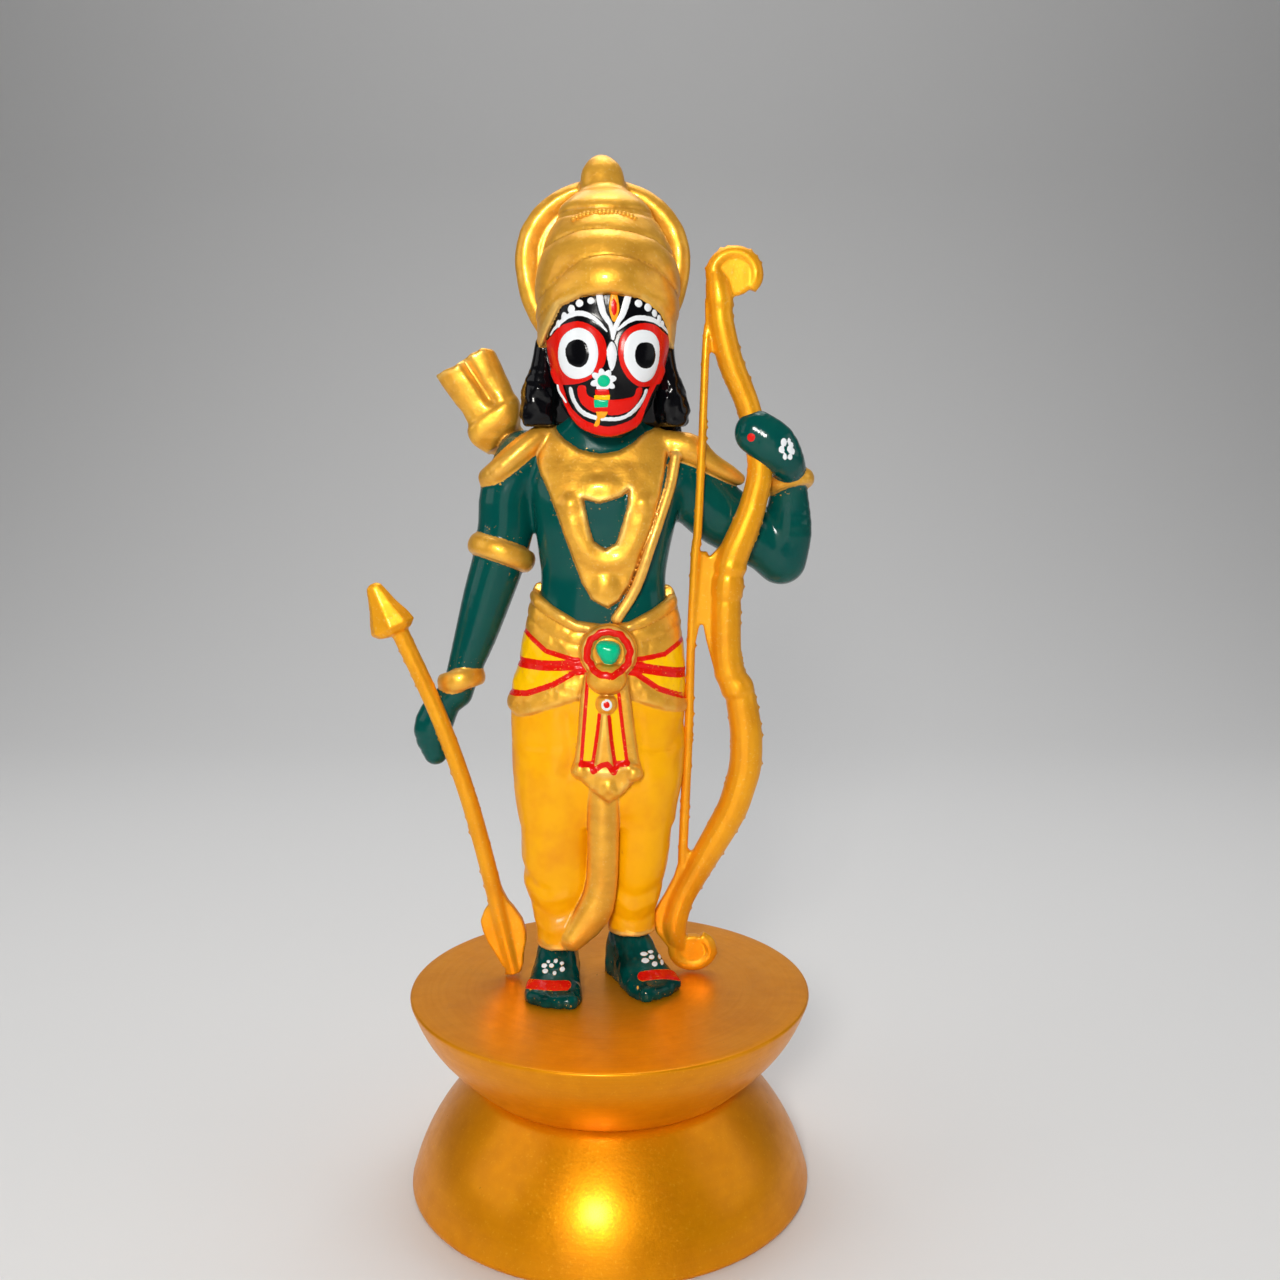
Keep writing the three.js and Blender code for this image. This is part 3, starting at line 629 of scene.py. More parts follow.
def stroke(points, x, z, steps=4):
    """Distance to a smooth line drawn in x and z."""
    points = smooth_rows(points, steps)
    nearest = np.float32(1e6)
    for start, end in zip(points, points[1:]):
        nearest = np.minimum(nearest, to_segment(start, end, x, z))
    return nearest


def lumps(space, size, seed):
    """Smooth random lumps about size millimetres wide, from -1 to 1."""
    count = 24
    table = np.random.default_rng(seed).uniform(-1, 1, (count, count, count)).astype(np.float32)
    cells, weights = [], []
    for axis in space:
        place = axis / size + 4000
        cell = np.floor(place).astype(int)
        part = (place - cell).astype(np.float32)
        part = part * part * (3 - 2 * part)
        cells.append((cell % count, (cell + 1) % count))
        weights.append((1 - part, part))
    total = 0
    for a, b, c in np.ndindex(2, 2, 2):
        weight = weights[0][a] * weights[1][b] * weights[2][c]
        total = total + weight * table[cells[0][a], cells[1][b], cells[2][c]]
    return total


print("lumps at one place:", round(float(lumps([np.array([1.0])] * 3, 2.0, 1)[0]), 3))

# %% [markdown]
# ## Drawing the skin
# A grid of places is filled with distances. Each grid cell that the surface passes through gets
# one point, at the middle of where its edges are crossed, and each crossed edge gets one face
# through its four cells. That is simple and leaves no holes. The points are then moved onto the
# true surface by a few steps down the slope of the distance, which brings thin edges back.

# %% The skin of a form


def grid_of(low, high, step):
    axes = [np.arange(a, b + step, step, dtype=np.float32) for a, b in zip(low, high)]
    return [axes[0][:, None, None], axes[1][None, :, None], axes[2][None, None, :]]


def cell_points(field, space):
    """The cells that a surface passes through, and a point in each."""
    inside = field < 0
    corners = list(np.ndindex(2, 2, 2))
    shape = [n - 1 for n in field.shape]
    shifted = [inside[a:a + shape[0], b:b + shape[1], c:c + shape[2]] for a, b, c in corners]
    count = sum(corner.astype(np.uint8) for corner in shifted)
    cells = np.argwhere((count > 0) & (count < 8))
    values = {k: field[tuple((cells + k).T)] for k in corners}
    total, crossings = np.zeros((len(cells), 3)), np.zeros(len(cells))
    for start in corners:
        for axis in range(3):
            if start[axis]:
                continue
            end = tuple(1 if i == axis else v for i, v in enumerate(start))
            crossed = (values[start] < 0) != (values[end] < 0)
            part = np.where(crossed, values[start] / np.where(crossed, values[start] - values[end], 1), 0)
            spot = np.repeat(np.array([start], float), len(cells), 0)
            spot[:, axis] += part
            total += spot * crossed[:, None]
            crossings += crossed
    low = np.array([axis.ravel()[0] for axis in space])
    step = float(space[0].ravel()[1] - space[0].ravel()[0])
    return cells, low + (cells + total / crossings[:, None]) * step


def skin(field, space):
    """Points and four-sided faces of the surface where a field of distances is nought."""
    cells, points = cell_points(field, space)
    number_of = np.full(field.shape, -1, np.int32)
    number_of[tuple(cells.T)] = np.arange(len(cells))
    faces = []
    for axis in range(3):
        start = [slice(1, None)] * 3
        start[axis] = slice(None, -1)
        end = [slice(1, None)] * 3
        end[axis] = slice(1, None)
        low_side, high_side = field[tuple(start)] < 0, field[tuple(end)] < 0
        u, v = (axis + 1) % 3, (axis + 2) % 3
        for leaving, order in ((True, 1), (False, -1)):
            spots = np.argwhere((low_side != high_side) & (low_side == leaving)) + 1
            spots[:, axis] -= 1
            ring = []
            for du, dv in ((-1, -1), (0, -1), (0, 0), (-1, 0))[::order]:
                corner = spots.copy()
                corner[:, u] += du
                corner[:, v] += dv
                ring.append(number_of[tuple(corner.T)])
            faces.append(np.stack(ring, 1))
    return points, np.concatenate(faces)


def slope_of(form, points):
    """Which way a form's distance grows at each point, and how fast."""
    nudge = 0.05
    slope = np.zeros_like(points)
    for axis in range(3):
        ahead, behind = points.copy(), points.copy()
        ahead[:, axis] += nudge
        behind[:, axis] -= nudge
        slope[:, axis] = (form(list(ahead.T)) - form(list(behind.T))) / (2 * nudge)
    return slope


def settle(points, form, step, rounds=2):
    """Moves points onto a form's surface, down the slope of its distance."""
    for _ in range(rounds):
        slope = slope_of(form, points)
        steep = np.maximum((slope**2).sum(1), 0.25)
        move = slope * (form(list(points.T)) / steep)[:, None]
        long = np.linalg.norm(move, axis=1)
        move *= np.minimum(1, 0.4 * step / np.maximum(long, 1e-9))[:, None]
        points = points - move
    return points


def cast(name, form, low, high, step):
    """A mesh object of a form's surface, with its points and their outward ways, in millimetres."""
    space = grid_of(low, high, step)
    points, faces = skin(form(space), space)
    points = settle(points, form, step)
    slope = slope_of(form, points)
    outward = slope / np.maximum(np.linalg.norm(slope, axis=1), 1e-6)[:, None]
    mesh = bpy.data.meshes.new(name)
    mesh.from_pydata(points * MM, [], faces.tolist())
    piece = bpy.data.objects.new(name, mesh)
    bpy.context.scene.collection.objects.link(piece)
    print(f"{name}: grid step {step} mm, {2 * len(faces)} triangles")
    return piece, points, outward


test_ball = ball(0, 0, 0, 3, 3, 3)
test_space = grid_of((-4, -4, -4), (4, 4, 4), 0.5)
test_points, _ = skin(test_ball(test_space), test_space)
nearest_point = np.linalg.norm(test_points, axis=1).round(2).min()
print("a ball of radius 3 has points", nearest_point, "mm or more from its middle")

# %% [markdown]
# ## Painting by distance
# A painter's brush leaves clear borders, and a colour stored at each point would blur them by the
# size of a face. A distance doesn't: between two points it changes evenly, so the place where it
# is nought stays sharp. Each paint therefore has one number at every point, the distance to its
# own border in millimetres, less than nothing where it shows. Laying a stroke over what is there
# lowers that paint's number and raises all the others. A stroke also has a thickness, which
# lifts the surface a little, as thick enamel does.

# %% A coat of paints
FAR = 9.0
SEAM = 0.04


class Coat:
    """The paints on a casting's points, as distances, and how thick they lie."""

    def __init__(self, points, base, *others):
        self.points = points
        self.fields = {paint: np.full(len(points), FAR) for paint in (base, *others)}
        self.fields[base] -= 2 * FAR
        self.thick = np.zeros(len(points))

    def brush(self, paint, distance, tall=0.02, soft=0.3):
        """Lays a paint where a distance is below nought, tall millimetres thick."""
        for other, field in self.fields.items():
            if other != paint:
                self.fields[other] = np.maximum(field, -distance)
        self.fields[paint] = np.minimum(self.fields[paint], distance)
        rise = np.clip(-distance / soft, 0, 1)
        inside = distance < 0
        self.thick = np.where(inside, tall * rise * (2 - rise), self.thick)


def zones_of(parts, points):
    """For each named zone of a casting, the distance to where it stops being what shows."""
    space = list(points.T)
    whole = np.full(len(points), REACH)
    zones = {zone: np.full(len(points), FAR) for zone, _, _ in parts}
    for zone, form, blend in parts:
        own = form(space)
        apart = (own - whole) / 2 - SEAM
        for name in zones:
            zones[name] = np.maximum(zones[name], -apart) if name != zone else np.minimum(zones[name], apart)
        whole = melt(whole, own, blend)
    return zones


def union_of(parts):
    """All the parts of a casting melted together."""
    def form(space):
        whole = nothing(space)
        for _, part, blend in parts:
            whole = melt(whole, part(space), blend)
        return whole
    return form


FEEL = 0.8


def keep_on(piece, name, values):
    field = piece.data.attributes.new(name, "FLOAT", "POINT")
    field.data.foreach_set("value", np.asarray(values, np.float32))


def coat_piece(piece, coat, form, outward):
    """Keeps the paints on the mesh, with its hollows and ridges, and lifts it by their thickness."""
    for paint, field in coat.fields.items():
        keep_on(piece, "paint_" + paint, np.clip(field, -REACH, REACH))
    # How hollow or ridged each point is; the gold lays painted shade in hollows and a painted highlight on
    # ridges from these.
    away = form(list((coat.points + FEEL * outward).T)) / FEEL
    within = form(list((coat.points - FEEL * outward).T)) / FEEL
    keep_on(piece, "hollow", np.clip(1 - away, 0, 1))
    keep_on(piece, "ridge", np.clip(1 + within, 0, 1))
    lifted = (coat.points + coat.thick[:, None] * outward) * MM
    piece.data.vertices.foreach_set("co", lifted.astype(np.float32).ravel())
    piece.data.update()
    print(piece.name, "paints:", ", ".join(coat.fields))


def drops(x, z, places):
    """Distance to the nearest of many small oval drops: their x, z, half width, half height."""
    nearest = np.full(len(x), FAR)
    for drop_x, drop_z, wide, tall in places:
        off = np.hypot((x - drop_x) / wide, (z - drop_z) / tall)
        nearest = np.minimum(nearest, (off - 1) * min(wide, tall))
    return nearest


def loop(points, steps=4):
    """A smooth closed outline through its corners."""
    points = np.array(points, float)
    around = smooth_rows(np.vstack([points[-1:], points, points[:2]]), steps)
    return around[steps:-steps - 1]


print("a loop through four corners has", len(loop([[0, 0], [1, 0], [1, 1], [0, 1]])), "points")

# %% [markdown]
# ## The figure's paint
# One recipe paints the whole casting. Enamel colours lie over each other wherever their numbers
# are below nought; each has its own gloss. The gold is the metal-flake paint of the plinth. It is
# pale on ridges where the brush catches, and that pale is also a painted highlight; it is brown
# in hollows, as pooled paint and painted shade together. The wet-looking bottle green is darker
# where it is thick, and gold dust from the next brush sticks to it near the borders.

# %% Colours and gloss of the enamels
ENAMELS = {
    "skin": ((0.0, 0.068, 0.060, 1.0), 0.13),
    "cloth": ((0.94, 0.44, 0.0, 1.0), 0.42),
    "yellow": ((1.0, 0.56, 0.0, 1.0), 0.28),
    "red": ((0.74, 0.008, 0.003, 1.0), 0.24),
    "white": ((0.82, 0.86, 0.9, 1.0), 0.28),
    "black": ((0.002, 0.002, 0.003, 1.0), 0.16),
    "green": ((0.0, 0.52, 0.26, 1.0), 0.14),
    "orange": ((0.95, 0.38, 0.012, 1.0), 0.3),
}
FLAKE_METAL = 0.6
ENAMEL_SHEEN = 0.12
WET_LACQUER = 0.26
WET_BLUR = 0.09
CLOTH_SHADE = (0.82, 0.30, 0.001, 1.0)
SKIN_LIGHT = (0.003, 0.085, 0.06, 1.0)
SKIN_DARK = (0.001, 0.012, 0.009, 1.0)


def paint_mask(tree, paint, wobble):
    field = maths(tree, "ADD", number(tree, "paint_" + paint), wobble)
    return between(tree, field, 0.035, -0.035)


def mottled(tree, colour, shade, scale, amount):
    """A colour that drifts toward a shade in soft clouds."""
    clouds = stretched_noise(tree, (scale, scale, scale), 3.0, 0.6)
    return tinted(tree, colour, shade, clouds, 0.35, 0.75, amount)


def figure_gold(tree):
    """The brushed gold: brown in the casting's hollows as pooled paint and painted shade, and pale on its
    ridges as brush wear and a painted highlight.
    """
    _, thin_and_shade, pale = FIGURE_TONES
    colour, rough, height = gold_layers(tree, (420, 420, 900), FIGURE_TONES)
    # Painted shade, with pooled paint: brown in the hollows.
    colour = tinted(tree, colour, thin_and_shade, number(tree, "hollow"), 0.08, 0.6, 0.75)
    # Painted highlight, with brush wear: pale on the ridges.
    colour = tinted(tree, colour, pale, number(tree, "ridge"), 0.12, 0.6, 0.4)
    return colour, rough, height


def figure_paint(name, base, *paints):
    """The paint of one casting: its base enamel, and every other paint laid over it."""
    material, tree, shader = new_material(name)
    wobble = mix_numbers(tree, stretched_noise(tree, (1900, 1900, 1900), 2.0), -0.07, 0.07)
    strokes = stretched_noise(tree, (900, 900, 260), 3.0, 0.6)
    colour, rough = ENAMELS[base]
    gold_colour, gold_rough, gold_height = figure_gold(tree)
    gold_mask = paint_mask(tree, "gold", wobble)
    for paint in (base, *paints):
        if paint == "gold":
            continue
        own, gloss = ENAMELS[paint]
        if paint == "skin":
            shade, amount = (SKIN_LIGHT, 0.35) if base == "skin" else (SKIN_DARK, 0.85)
            own = mottled(tree, own, shade, 260.0, amount)
        if paint == "cloth":
            own = mottled(tree, own, CLOTH_SHADE, 150.0, 0.8)
        if paint == base:
            colour = own
            continue
        mask = paint_mask(tree, paint, wobble)
        colour = mix_colours(tree, mask, colour, own)
        rough = mix_numbers(tree, mask, rough, gloss)
    rough = maths(tree, "ADD", rough, mix_numbers(tree, strokes, -0.04, 0.08))
    near_gold = between(tree, number(tree, "paint_gold"), 0.0 if "black" in paints else 0.7, -0.1)
    specks = between(tree, stretched_noise(tree, (2300, 2300, 2300), 1.0), 0.68, 0.74)
    dust = maths(tree, "MULTIPLY", near_gold, specks)
    gold_part = maths(tree, "MAXIMUM", gold_mask, maths(tree, "MULTIPLY", dust, 0.8))
    colour = mix_colours(tree, gold_part, colour, gold_colour)
    rough = mix_numbers(tree, gold_part, rough, gold_rough)
    metal = maths(tree, "MULTIPLY", gold_part, FLAKE_METAL)
    place = add(tree, "ShaderNodeTexCoord").outputs["Object"]
    across = add(tree, "ShaderNodeSeparateXYZ", place).outputs[0]
    brushed = maths(tree, "MULTIPLY", strokes, between(tree, across, 0.009, 0.013, 0.4, 1.5))
    waves = maths(tree, "MULTIPLY", stretched_noise(tree, (420, 420, 300), 1.0), 1.4)
    enamel_height = maths(tree, "ADD", brushed, waves)
    height = mix_numbers(tree, gold_mask, enamel_height, gold_height)
    bump = add(tree, "ShaderNodeBump", 0.75, 0.05 * MM, None, height)
    lacquer, blur = (WET_LACQUER, WET_BLUR) if base == "skin" else (LACQUER, LACQUER_BLUR)
    fill(tree, shader, Base_Color=colour, Roughness=rough, Metallic=metal, Specular_IOR_Level=ENAMEL_SHEEN,
         Coat_Weight=lacquer, Coat_Roughness=blur, Normal=bump)
    return material


def finish_casting(piece, coat, form, outward):
    """Keeps a casting's paints on its mesh and gives it the material that shows them."""
    coat_piece(piece, coat, form, outward)
    finish_piece(piece, figure_paint(piece.name + "_paint", *coat.fields), "figure_paint", "figure")


print("enamels:", ", ".join(ENAMELS))

# %% [markdown]
# ## The body
# The body, arms and legs are measured as rows of level sections, as the plain model's are, so
# that the fine casting lies close to its plain solid. A limb is a rod through
# stations with its own thickness at each. They melt into each other as cast metal does.

# %% Rows of the body, its arms and legs
PLINTH_TOP = 30.0
BODY_Y = 3.5

TORSO = [
    [83.5, -1.0, 3.5, 10.6, 6.1], [88.0, -1.0, 3.5, 9.5, 5.7], [91.5, -0.9, 3.5, 9.2, 5.7],
    [95.5, -0.8, 3.4, 9.7, 6.1], [99.5, -0.6, 3.3, 10.4, 6.5], [103.0, -0.4, 3.3, 11.0, 6.4],
    [106.0, -0.3, 3.6, 11.4, 5.8], [108.6, -0.4, 3.9, 10.7, 5.0], [110.6, -0.7, 4.0, 9.7, 4.6],
    [112.4, -0.8, 4.0, 8.3, 4.3], [114.0, -0.6, 3.8, 6.5, 4.2], [116.0, 0.0, 3.2, 5.3, 4.6],
]
RIGHT_ARM = [
    [-12.4, 4.6, 108.5, 4.3, 4.1], [-14.9, 4.2, 103.6, 4.1, 4.2], [-15.3, 4.2, 99.0, 4.1, 4.2],
    [-16.3, 4.2, 94.2, 3.9, 4.1], [-18.1, 4.0, 88.6, 3.6, 3.8], [-20.0, 3.8, 82.6, 3.1, 3.3],
    [-21.8, 3.6, 77.4, 2.5, 2.7], [-22.8, 3.4, 74.0, 2.3, 2.5],
]
RIGHT_HAND = [
    [-23.1, 3.3, 74.4, 1.7, 2.1], [-25.3, 3.2, 71.6, 2.6, 2.6],
    [-26.6, 3.1, 68.4, 2.8, 2.6], [-26.2, 3.0, 64.9, 1.8, 1.9],
]
LEFT_UPPER_ARM = [
    [10.6, 5.2, 105.6, 4.6, 4.0], [15.4, 6.5, 101.3, 4.8, 4.3],
    [20.4, 7.4, 97.8, 4.3, 4.1], [25.4, 8.0, 94.2, 3.6, 3.5],
]
LEFT_FOREARM = [
    [25.9, 7.9, 93.6, 3.7, 3.5], [26.6, 7.4, 97.6, 3.7, 3.5],
    [26.7, 6.6, 101.8, 3.1, 3.0], [26.5, 5.4, 105.6, 2.5, 2.6],
]
LEFT_HAND = [
    [26.6, 4.6, 106.6, 2.4, 2.7], [25.6, 1.9, 108.4, 2.7, 3.0],
    [23.7, 0.6, 110.6, 3.3, 2.7], [21.3, 0.7, 112.3, 3.2, 2.4],
]
HIPS = [
    [55.0, -1.9, 3.5, 11.4, 5.6], [61.0, -1.9, 3.5, 12.3, 6.9], [66.0, -1.8, 3.5, 12.9, 7.3],
    [71.0, -1.75, 3.5, 13.0, 7.2], [78.0, -1.2, 3.5, 12.3, 6.6], [85.0, -0.9, 3.5, 10.8, 6.0],
]
RIGHT_LEG = [
    [36.4, -7.6, 0.9, 3.4, 4.4], [39.0, -7.4, 1.4, 3.8, 4.9], [42.6, -7.4, 2.1, 4.7, 5.2],
    [47.0, -7.6, 2.7, 5.6, 5.9], [54.0, -7.6, 3.2, 5.9, 6.4], [61.0, -7.6, 3.5, 6.6, 7.0],
    [66.0, -7.4, 3.6, 6.4, 6.4],
]
LEFT_LEG = [
    [37.8, 3.2, 2.6, 3.5, 3.9], [40.5, 3.2, 3.0, 3.7, 4.3], [45.0, 3.9, 3.2, 4.1, 5.0],
    [50.0, 4.5, 3.4, 4.5, 5.7], [55.0, 4.7, 3.5, 4.8, 6.2], [61.0, 4.6, 3.5, 6.0, 6.9],
    [66.0, 4.6, 3.6, 6.0, 6.4],
]

torso = stack(TORSO)
hips = stack(HIPS)
print("the body is measured by", len(TORSO) + len(HIPS), "level sections")

# %% [markdown]
# ## Forms in their own axes
# A foot is drawn lying along its own axis, and the quiver's mouth along its slanted one. Turning
# the form itself is awkward, so the places are turned the other way before the form is asked.

# %% Turn the places, not the form


def placed(form, origin, axes, low, high):
    """A form drawn in its own axes, set at an origin; low and high box it in the figure."""
    axes = np.array(axes, float)

    def turned_form(space):
        part, place = window(space, low, high)
        shape = np.broadcast(*part).shape
        full = [np.broadcast_to(axis, shape).ravel() for axis in part]
        off = [axis - start for axis, start in zip(full, origin)]
        own = [sum(o * a for o, a in zip(off, axis)) for axis in axes]
        return spread(space, place, form(own).reshape(shape))
    return turned_form


FOOT_ROWS = [
    [-8.6, 0.9, 0.0, 2.1, 1.3], [-7.5, 0.4, 0.0, 3.6, 2.1], [-5.5, 0.0, 0.0, 4.2, 2.8],
    [-2.6, 0.0, 0.0, 3.9, 4.8], [0.8, 0.1, 0.0, 3.3, 8.8], [3.9, 0.1, 0.0, 3.3, 8.8],
    [5.5, 0.0, 0.0, 2.4, 7.0],
]
TOES = [(2.5, -8.6, 1.25), (0.9, -8.8, 0.95), (-0.5, -8.4, 0.9), (-1.8, -7.8, 0.85), (-3.0, -7.0, 0.85)]


def foot_form():
    """A bare foot along its own y, toes toward less; its x is toward the great toe."""
    sole = stack(FOOT_ROWS)
    toes = [rod([[x, y + 3.0, 1.1, size], [x, y, 0.9, size]]) for x, y, size in TOES]

    def form(space):
        x, y, z = space
        return melt_all(sole([x, z, y]), toes, space, 0.9) - 0.1 * lumps(space, 0.9, 19)
    return form


def foot(origin, turn, mirror):
    """A foot set on the plinth, turned by degrees, with its great toe inward."""
    cos, sin = math.cos(math.radians(turn)), math.sin(math.radians(turn))
    axes = [[mirror * cos, mirror * sin, 0], [-sin, cos, 0], [0, 0, 1]]
    low = [origin[0] - 7, origin[1] - 9, PLINTH_TOP - 1]
    high = [origin[0] + 7, origin[1] + 7, PLINTH_TOP + 9]
    return placed(foot_form(), [*origin, PLINTH_TOP], axes, low, high)


feet = [foot((-8.2, -0.4), 0, 1), foot((3.9, 2.4), 27, -1)]
print("toes on each foot:", len(TOES))

# %% [markdown]
# ## Cloth
# The wrapped cloth round the legs is thin and smooth, with soft creases where it is tied at the
# ankles and hangs from the hips. Creases could be simulated, but this is cast cloth, so they are
# lines drawn on the front and pressed in or raised, with some soft lumps between them.

# %% The cloth of the legs
CREASES = [
    ([[-6.1, 71.6], [-5.6, 67.5], [-5.9, 63.2]], 0.9, -0.28),
    ([[-8.2, 71.2], [-8.6, 66.0], [-8.3, 60.5]], 1.3, 0.16),
    ([[4.3, 71.2], [4.9, 66.4], [4.6, 62.0]], 0.9, -0.25),
    ([[10.9, 69.6], [8.8, 66.6], [6.6, 66.2]], 0.9, -0.22),
    ([[-13.0, 47.6], [-11.0, 45.8], [-9.4, 45.3]], 0.8, -0.3),
    ([[-12.2, 45.6], [-9.0, 43.9], [-6.0, 44.6]], 0.8, 0.25),
    ([[-11.4, 42.8], [-8.2, 41.4], [-5.2, 42.6]], 0.7, -0.25),
    ([[-10.9, 40.2], [-8.2, 39.2], [-5.4, 40.0]], 0.7, 0.2),
    ([[0.6, 46.0], [3.4, 44.0], [7.2, 45.2]], 0.8, -0.25),
    ([[1.0, 43.2], [3.6, 41.9], [6.6, 42.8]], 0.7, 0.22),
    ([[0.4, 41.0], [3.4, 39.9], [6.4, 40.6]], 0.6, -0.2),
]
legs = [stack(RIGHT_LEG), stack(LEFT_LEG)]


def cloth(space):
    whole = melt(melt(hips(space), legs[0](space), 1.6), legs[1](space), 1.6)
    part, place = window(space, (-16, -6, 36), (13, 12, 75))
    x, y, z = part
    relief = 0.1 * lumps(part, 3.4, 5) + 0.05 * lumps(part, 1.3, 6)
    front = np.clip((BODY_Y + 2 - y) / 2, 0, 1)
    for line, wide, tall in CREASES:
        relief = relief + front * tall * np.exp(-(stroke(line, x, z) / wide)**2)
    whole[place] -= relief
    return whole


PLEAT = [
    [-0.8, -2.2, 62.0, 2.4, 2.2], [-0.9, -2.4, 54.0, 2.3, 2.2], [-1.2, -2.0, 46.0, 2.3, 2.0],
    [-2.6, -2.4, 41.6, 2.6, 1.8], [-5.4, -3.0, 38.0, 1.8, 1.4],
]
pleat = rod(PLEAT)
print("creases in the cloth:", len(CREASES))

# %% [markdown]
# ## The scarf round the hips
# The scarf is gathered under a brooch and spreads to both hips in bands: three soft gold folds
# above, two striped ribbons, and a thick gold border below. The lines between the bands are
# rows of x and z across the front; round the back they run level from hip to hip, which is the
# plain way a carver finishes a side that nobody looks at. Between two lines a band swells.

# %% The lines and folds of the scarf
BELT = [
    [70.0, -1.8, 3.5, 12.9, 7.4], [72.4, -1.9, 3.5, 13.4, 7.6], [76.0, -1.5, 3.5, 13.0, 7.3],
    [80.4, -1.1, 3.5, 12.3, 7.0], [84.6, -0.9, 3.5, 11.7, 6.7], [88.6, -1.0, 3.5, 10.8, 6.4],
    [90.6, -1.0, 3.5, 9.9, 5.8],
]
BORDER_LINE = [[-14.9, 71.6], [-13.4, 70.8], [-9.2, 72.3], [-4.1, 74.0], [-0.5, 74.6],
               [3.1, 73.9], [8.2, 72.0], [11.6, 71.0]]
LOW_LINE = [[-14.7, 74.4], [-12.0, 74.7], [-8.1, 76.2], [-5.0, 78.0], [0.0, 78.6],
            [3.9, 77.9], [7.1, 75.6], [11.5, 73.7]]
MIDDLE_LINE = [[-14.5, 79.0], [-9.0, 78.9], [-4.6, 79.1], [0.0, 79.2], [4.6, 78.7], [11.5, 77.3]]
HIGH_LINE = [[-14.4, 84.2], [-12.3, 83.5], [-9.1, 81.0], [-5.0, 79.9], [0.0, 79.8],
             [4.9, 80.0], [8.1, 80.5], [10.7, 82.2], [11.4, 82.9]]
DIP_LINE = [[-14.5, 90.9], [-12.0, 90.3], [-8.1, 87.5], [-4.5, 85.5], [0.1, 84.9],
            [3.0, 85.4], [6.1, 86.9], [10.4, 89.6], [11.5, 90.2]]


def line_height(line, x, y):
    """Height of a line of the scarf: as drawn in front, level from hip to hip behind."""
    line = np.array(line)
    ends = line[[0, -1]]
    front = np.interp(x, line[:, 0], line[:, 1])
    back = np.interp(x, ends[:, 0], ends[:, 1])
    return np.where(y < BODY_Y, front, back)


def part_way(low, high, part):
    """A line part of the way from one line to another."""
    at = np.array(low)[:, 0]
    high_there = np.interp(at, np.array(high)[:, 0], np.array(high)[:, 1])
    return np.stack([at, np.array(low)[:, 1] * (1 - part) + high_there * part], 1).tolist()


def banded(relief, bands, x, y, z, front=1):
    """A relief that swells between the two lines of each band."""
    for low, high, tall in bands:
        bottom, top = line_height(low, x, y), line_height(high, x, y)
        up = np.clip((z - bottom) / np.maximum(top - bottom, 0.3), 0, 1)
        relief = relief + front * tall * np.sqrt(4 * up * (1 - up) + 1e-6)
    return relief


FOLD_LINES = [part_way(HIGH_LINE, DIP_LINE, part) for part in (0.36, 0.7)]
SCARF_BANDS = [
    (BORDER_LINE, LOW_LINE, 0.5), (LOW_LINE, MIDDLE_LINE, 0.3), (MIDDLE_LINE, HIGH_LINE, 0.3),
    (HIGH_LINE, FOLD_LINES[0], 0.24), (FOLD_LINES[0], FOLD_LINES[1], 0.24), (FOLD_LINES[1], DIP_LINE, 0.5),
]
belt = stack(BELT)


def scarf(space):
    whole = belt(space)
    part, place = window(space, (-16, -6, 69), (13, 13, 92))
    x, y, z = part
    relief = 0.16 * lumps(part, 1.9, 8) + 0.08 * lumps(part, 0.8, 9)
    relief = banded(relief, SCARF_BANDS, x, y, z)
    above = z - line_height(DIP_LINE, x, y)
    below = line_height(BORDER_LINE, x, y) - z
    whole[place] = overlap(whole[place] + 0.45 - relief, np.maximum(above, below) * 0.8, 0.7)
    return whole


print("bands in the scarf:", len(SCARF_BANDS))

# %% [markdown]
# ## Brooch, pendant and sash
# The brooch is a boss with a raised ring and a stone; a lobe and a small pendant hang below it.
# The sash is a plate laid on the thighs: its outline is drawn in front view, and overlapping it
# with the hips grown by the plate's thickness bends it to the body without any modelling.

# %% Plates laid on the body


def plate(base, points, thick, rounding):
    """A plate of an outline drawn in x and z, laid on the front of a form."""
    points = np.array(points, float)
    low, high = points.min(0), points.max(0)

    def form(space):
        part, place = window(space, (low[0], -12, low[1]), (high[0], BODY_Y, high[1]))
        x, y, z = part
        drawn = np.broadcast_to(outline(points, x, z), np.broadcast(*part).shape)
        laid = overlap(drawn.astype(np.float32), base(part) - thick, rounding)
        return spread(space, place, np.maximum(laid, y - BODY_Y))
    return form


BROOCH = (0.0, -3.2, 81.1)
brooch_boss = ball(BROOCH[0], BROOCH[1], BROOCH[2], 4.1, 1.5, 4.1)
brooch_ring = hoop((BROOCH[0], BROOCH[1] - 1.2, BROOCH[2]), (0, 1, 0), 3.1, 0.75, 0.6)
STONE_LOBES = [(-0.75, 81.85, 0.95), (0.75, 81.7, 0.85), (0.1, 80.55, 1.05)]
brooch_lobe = ball(BROOCH[0] - 0.2, BROOCH[1] - 1.5, 77.4, 2.8, 1.9, 2.3)


stone_lobes = [ball(BROOCH[0] + x, BROOCH[1] - 1.5, z, size, 1.2, size) for x, z, size in STONE_LOBES]


def brooch_stone(space):
    """A stone like a heart: two lobes above a point."""
    return melt_all(nothing(space), stone_lobes, space, 1.2)


pendant = ball(-0.3, -4.5, 73.7, 1.5, 1.5, 1.5)

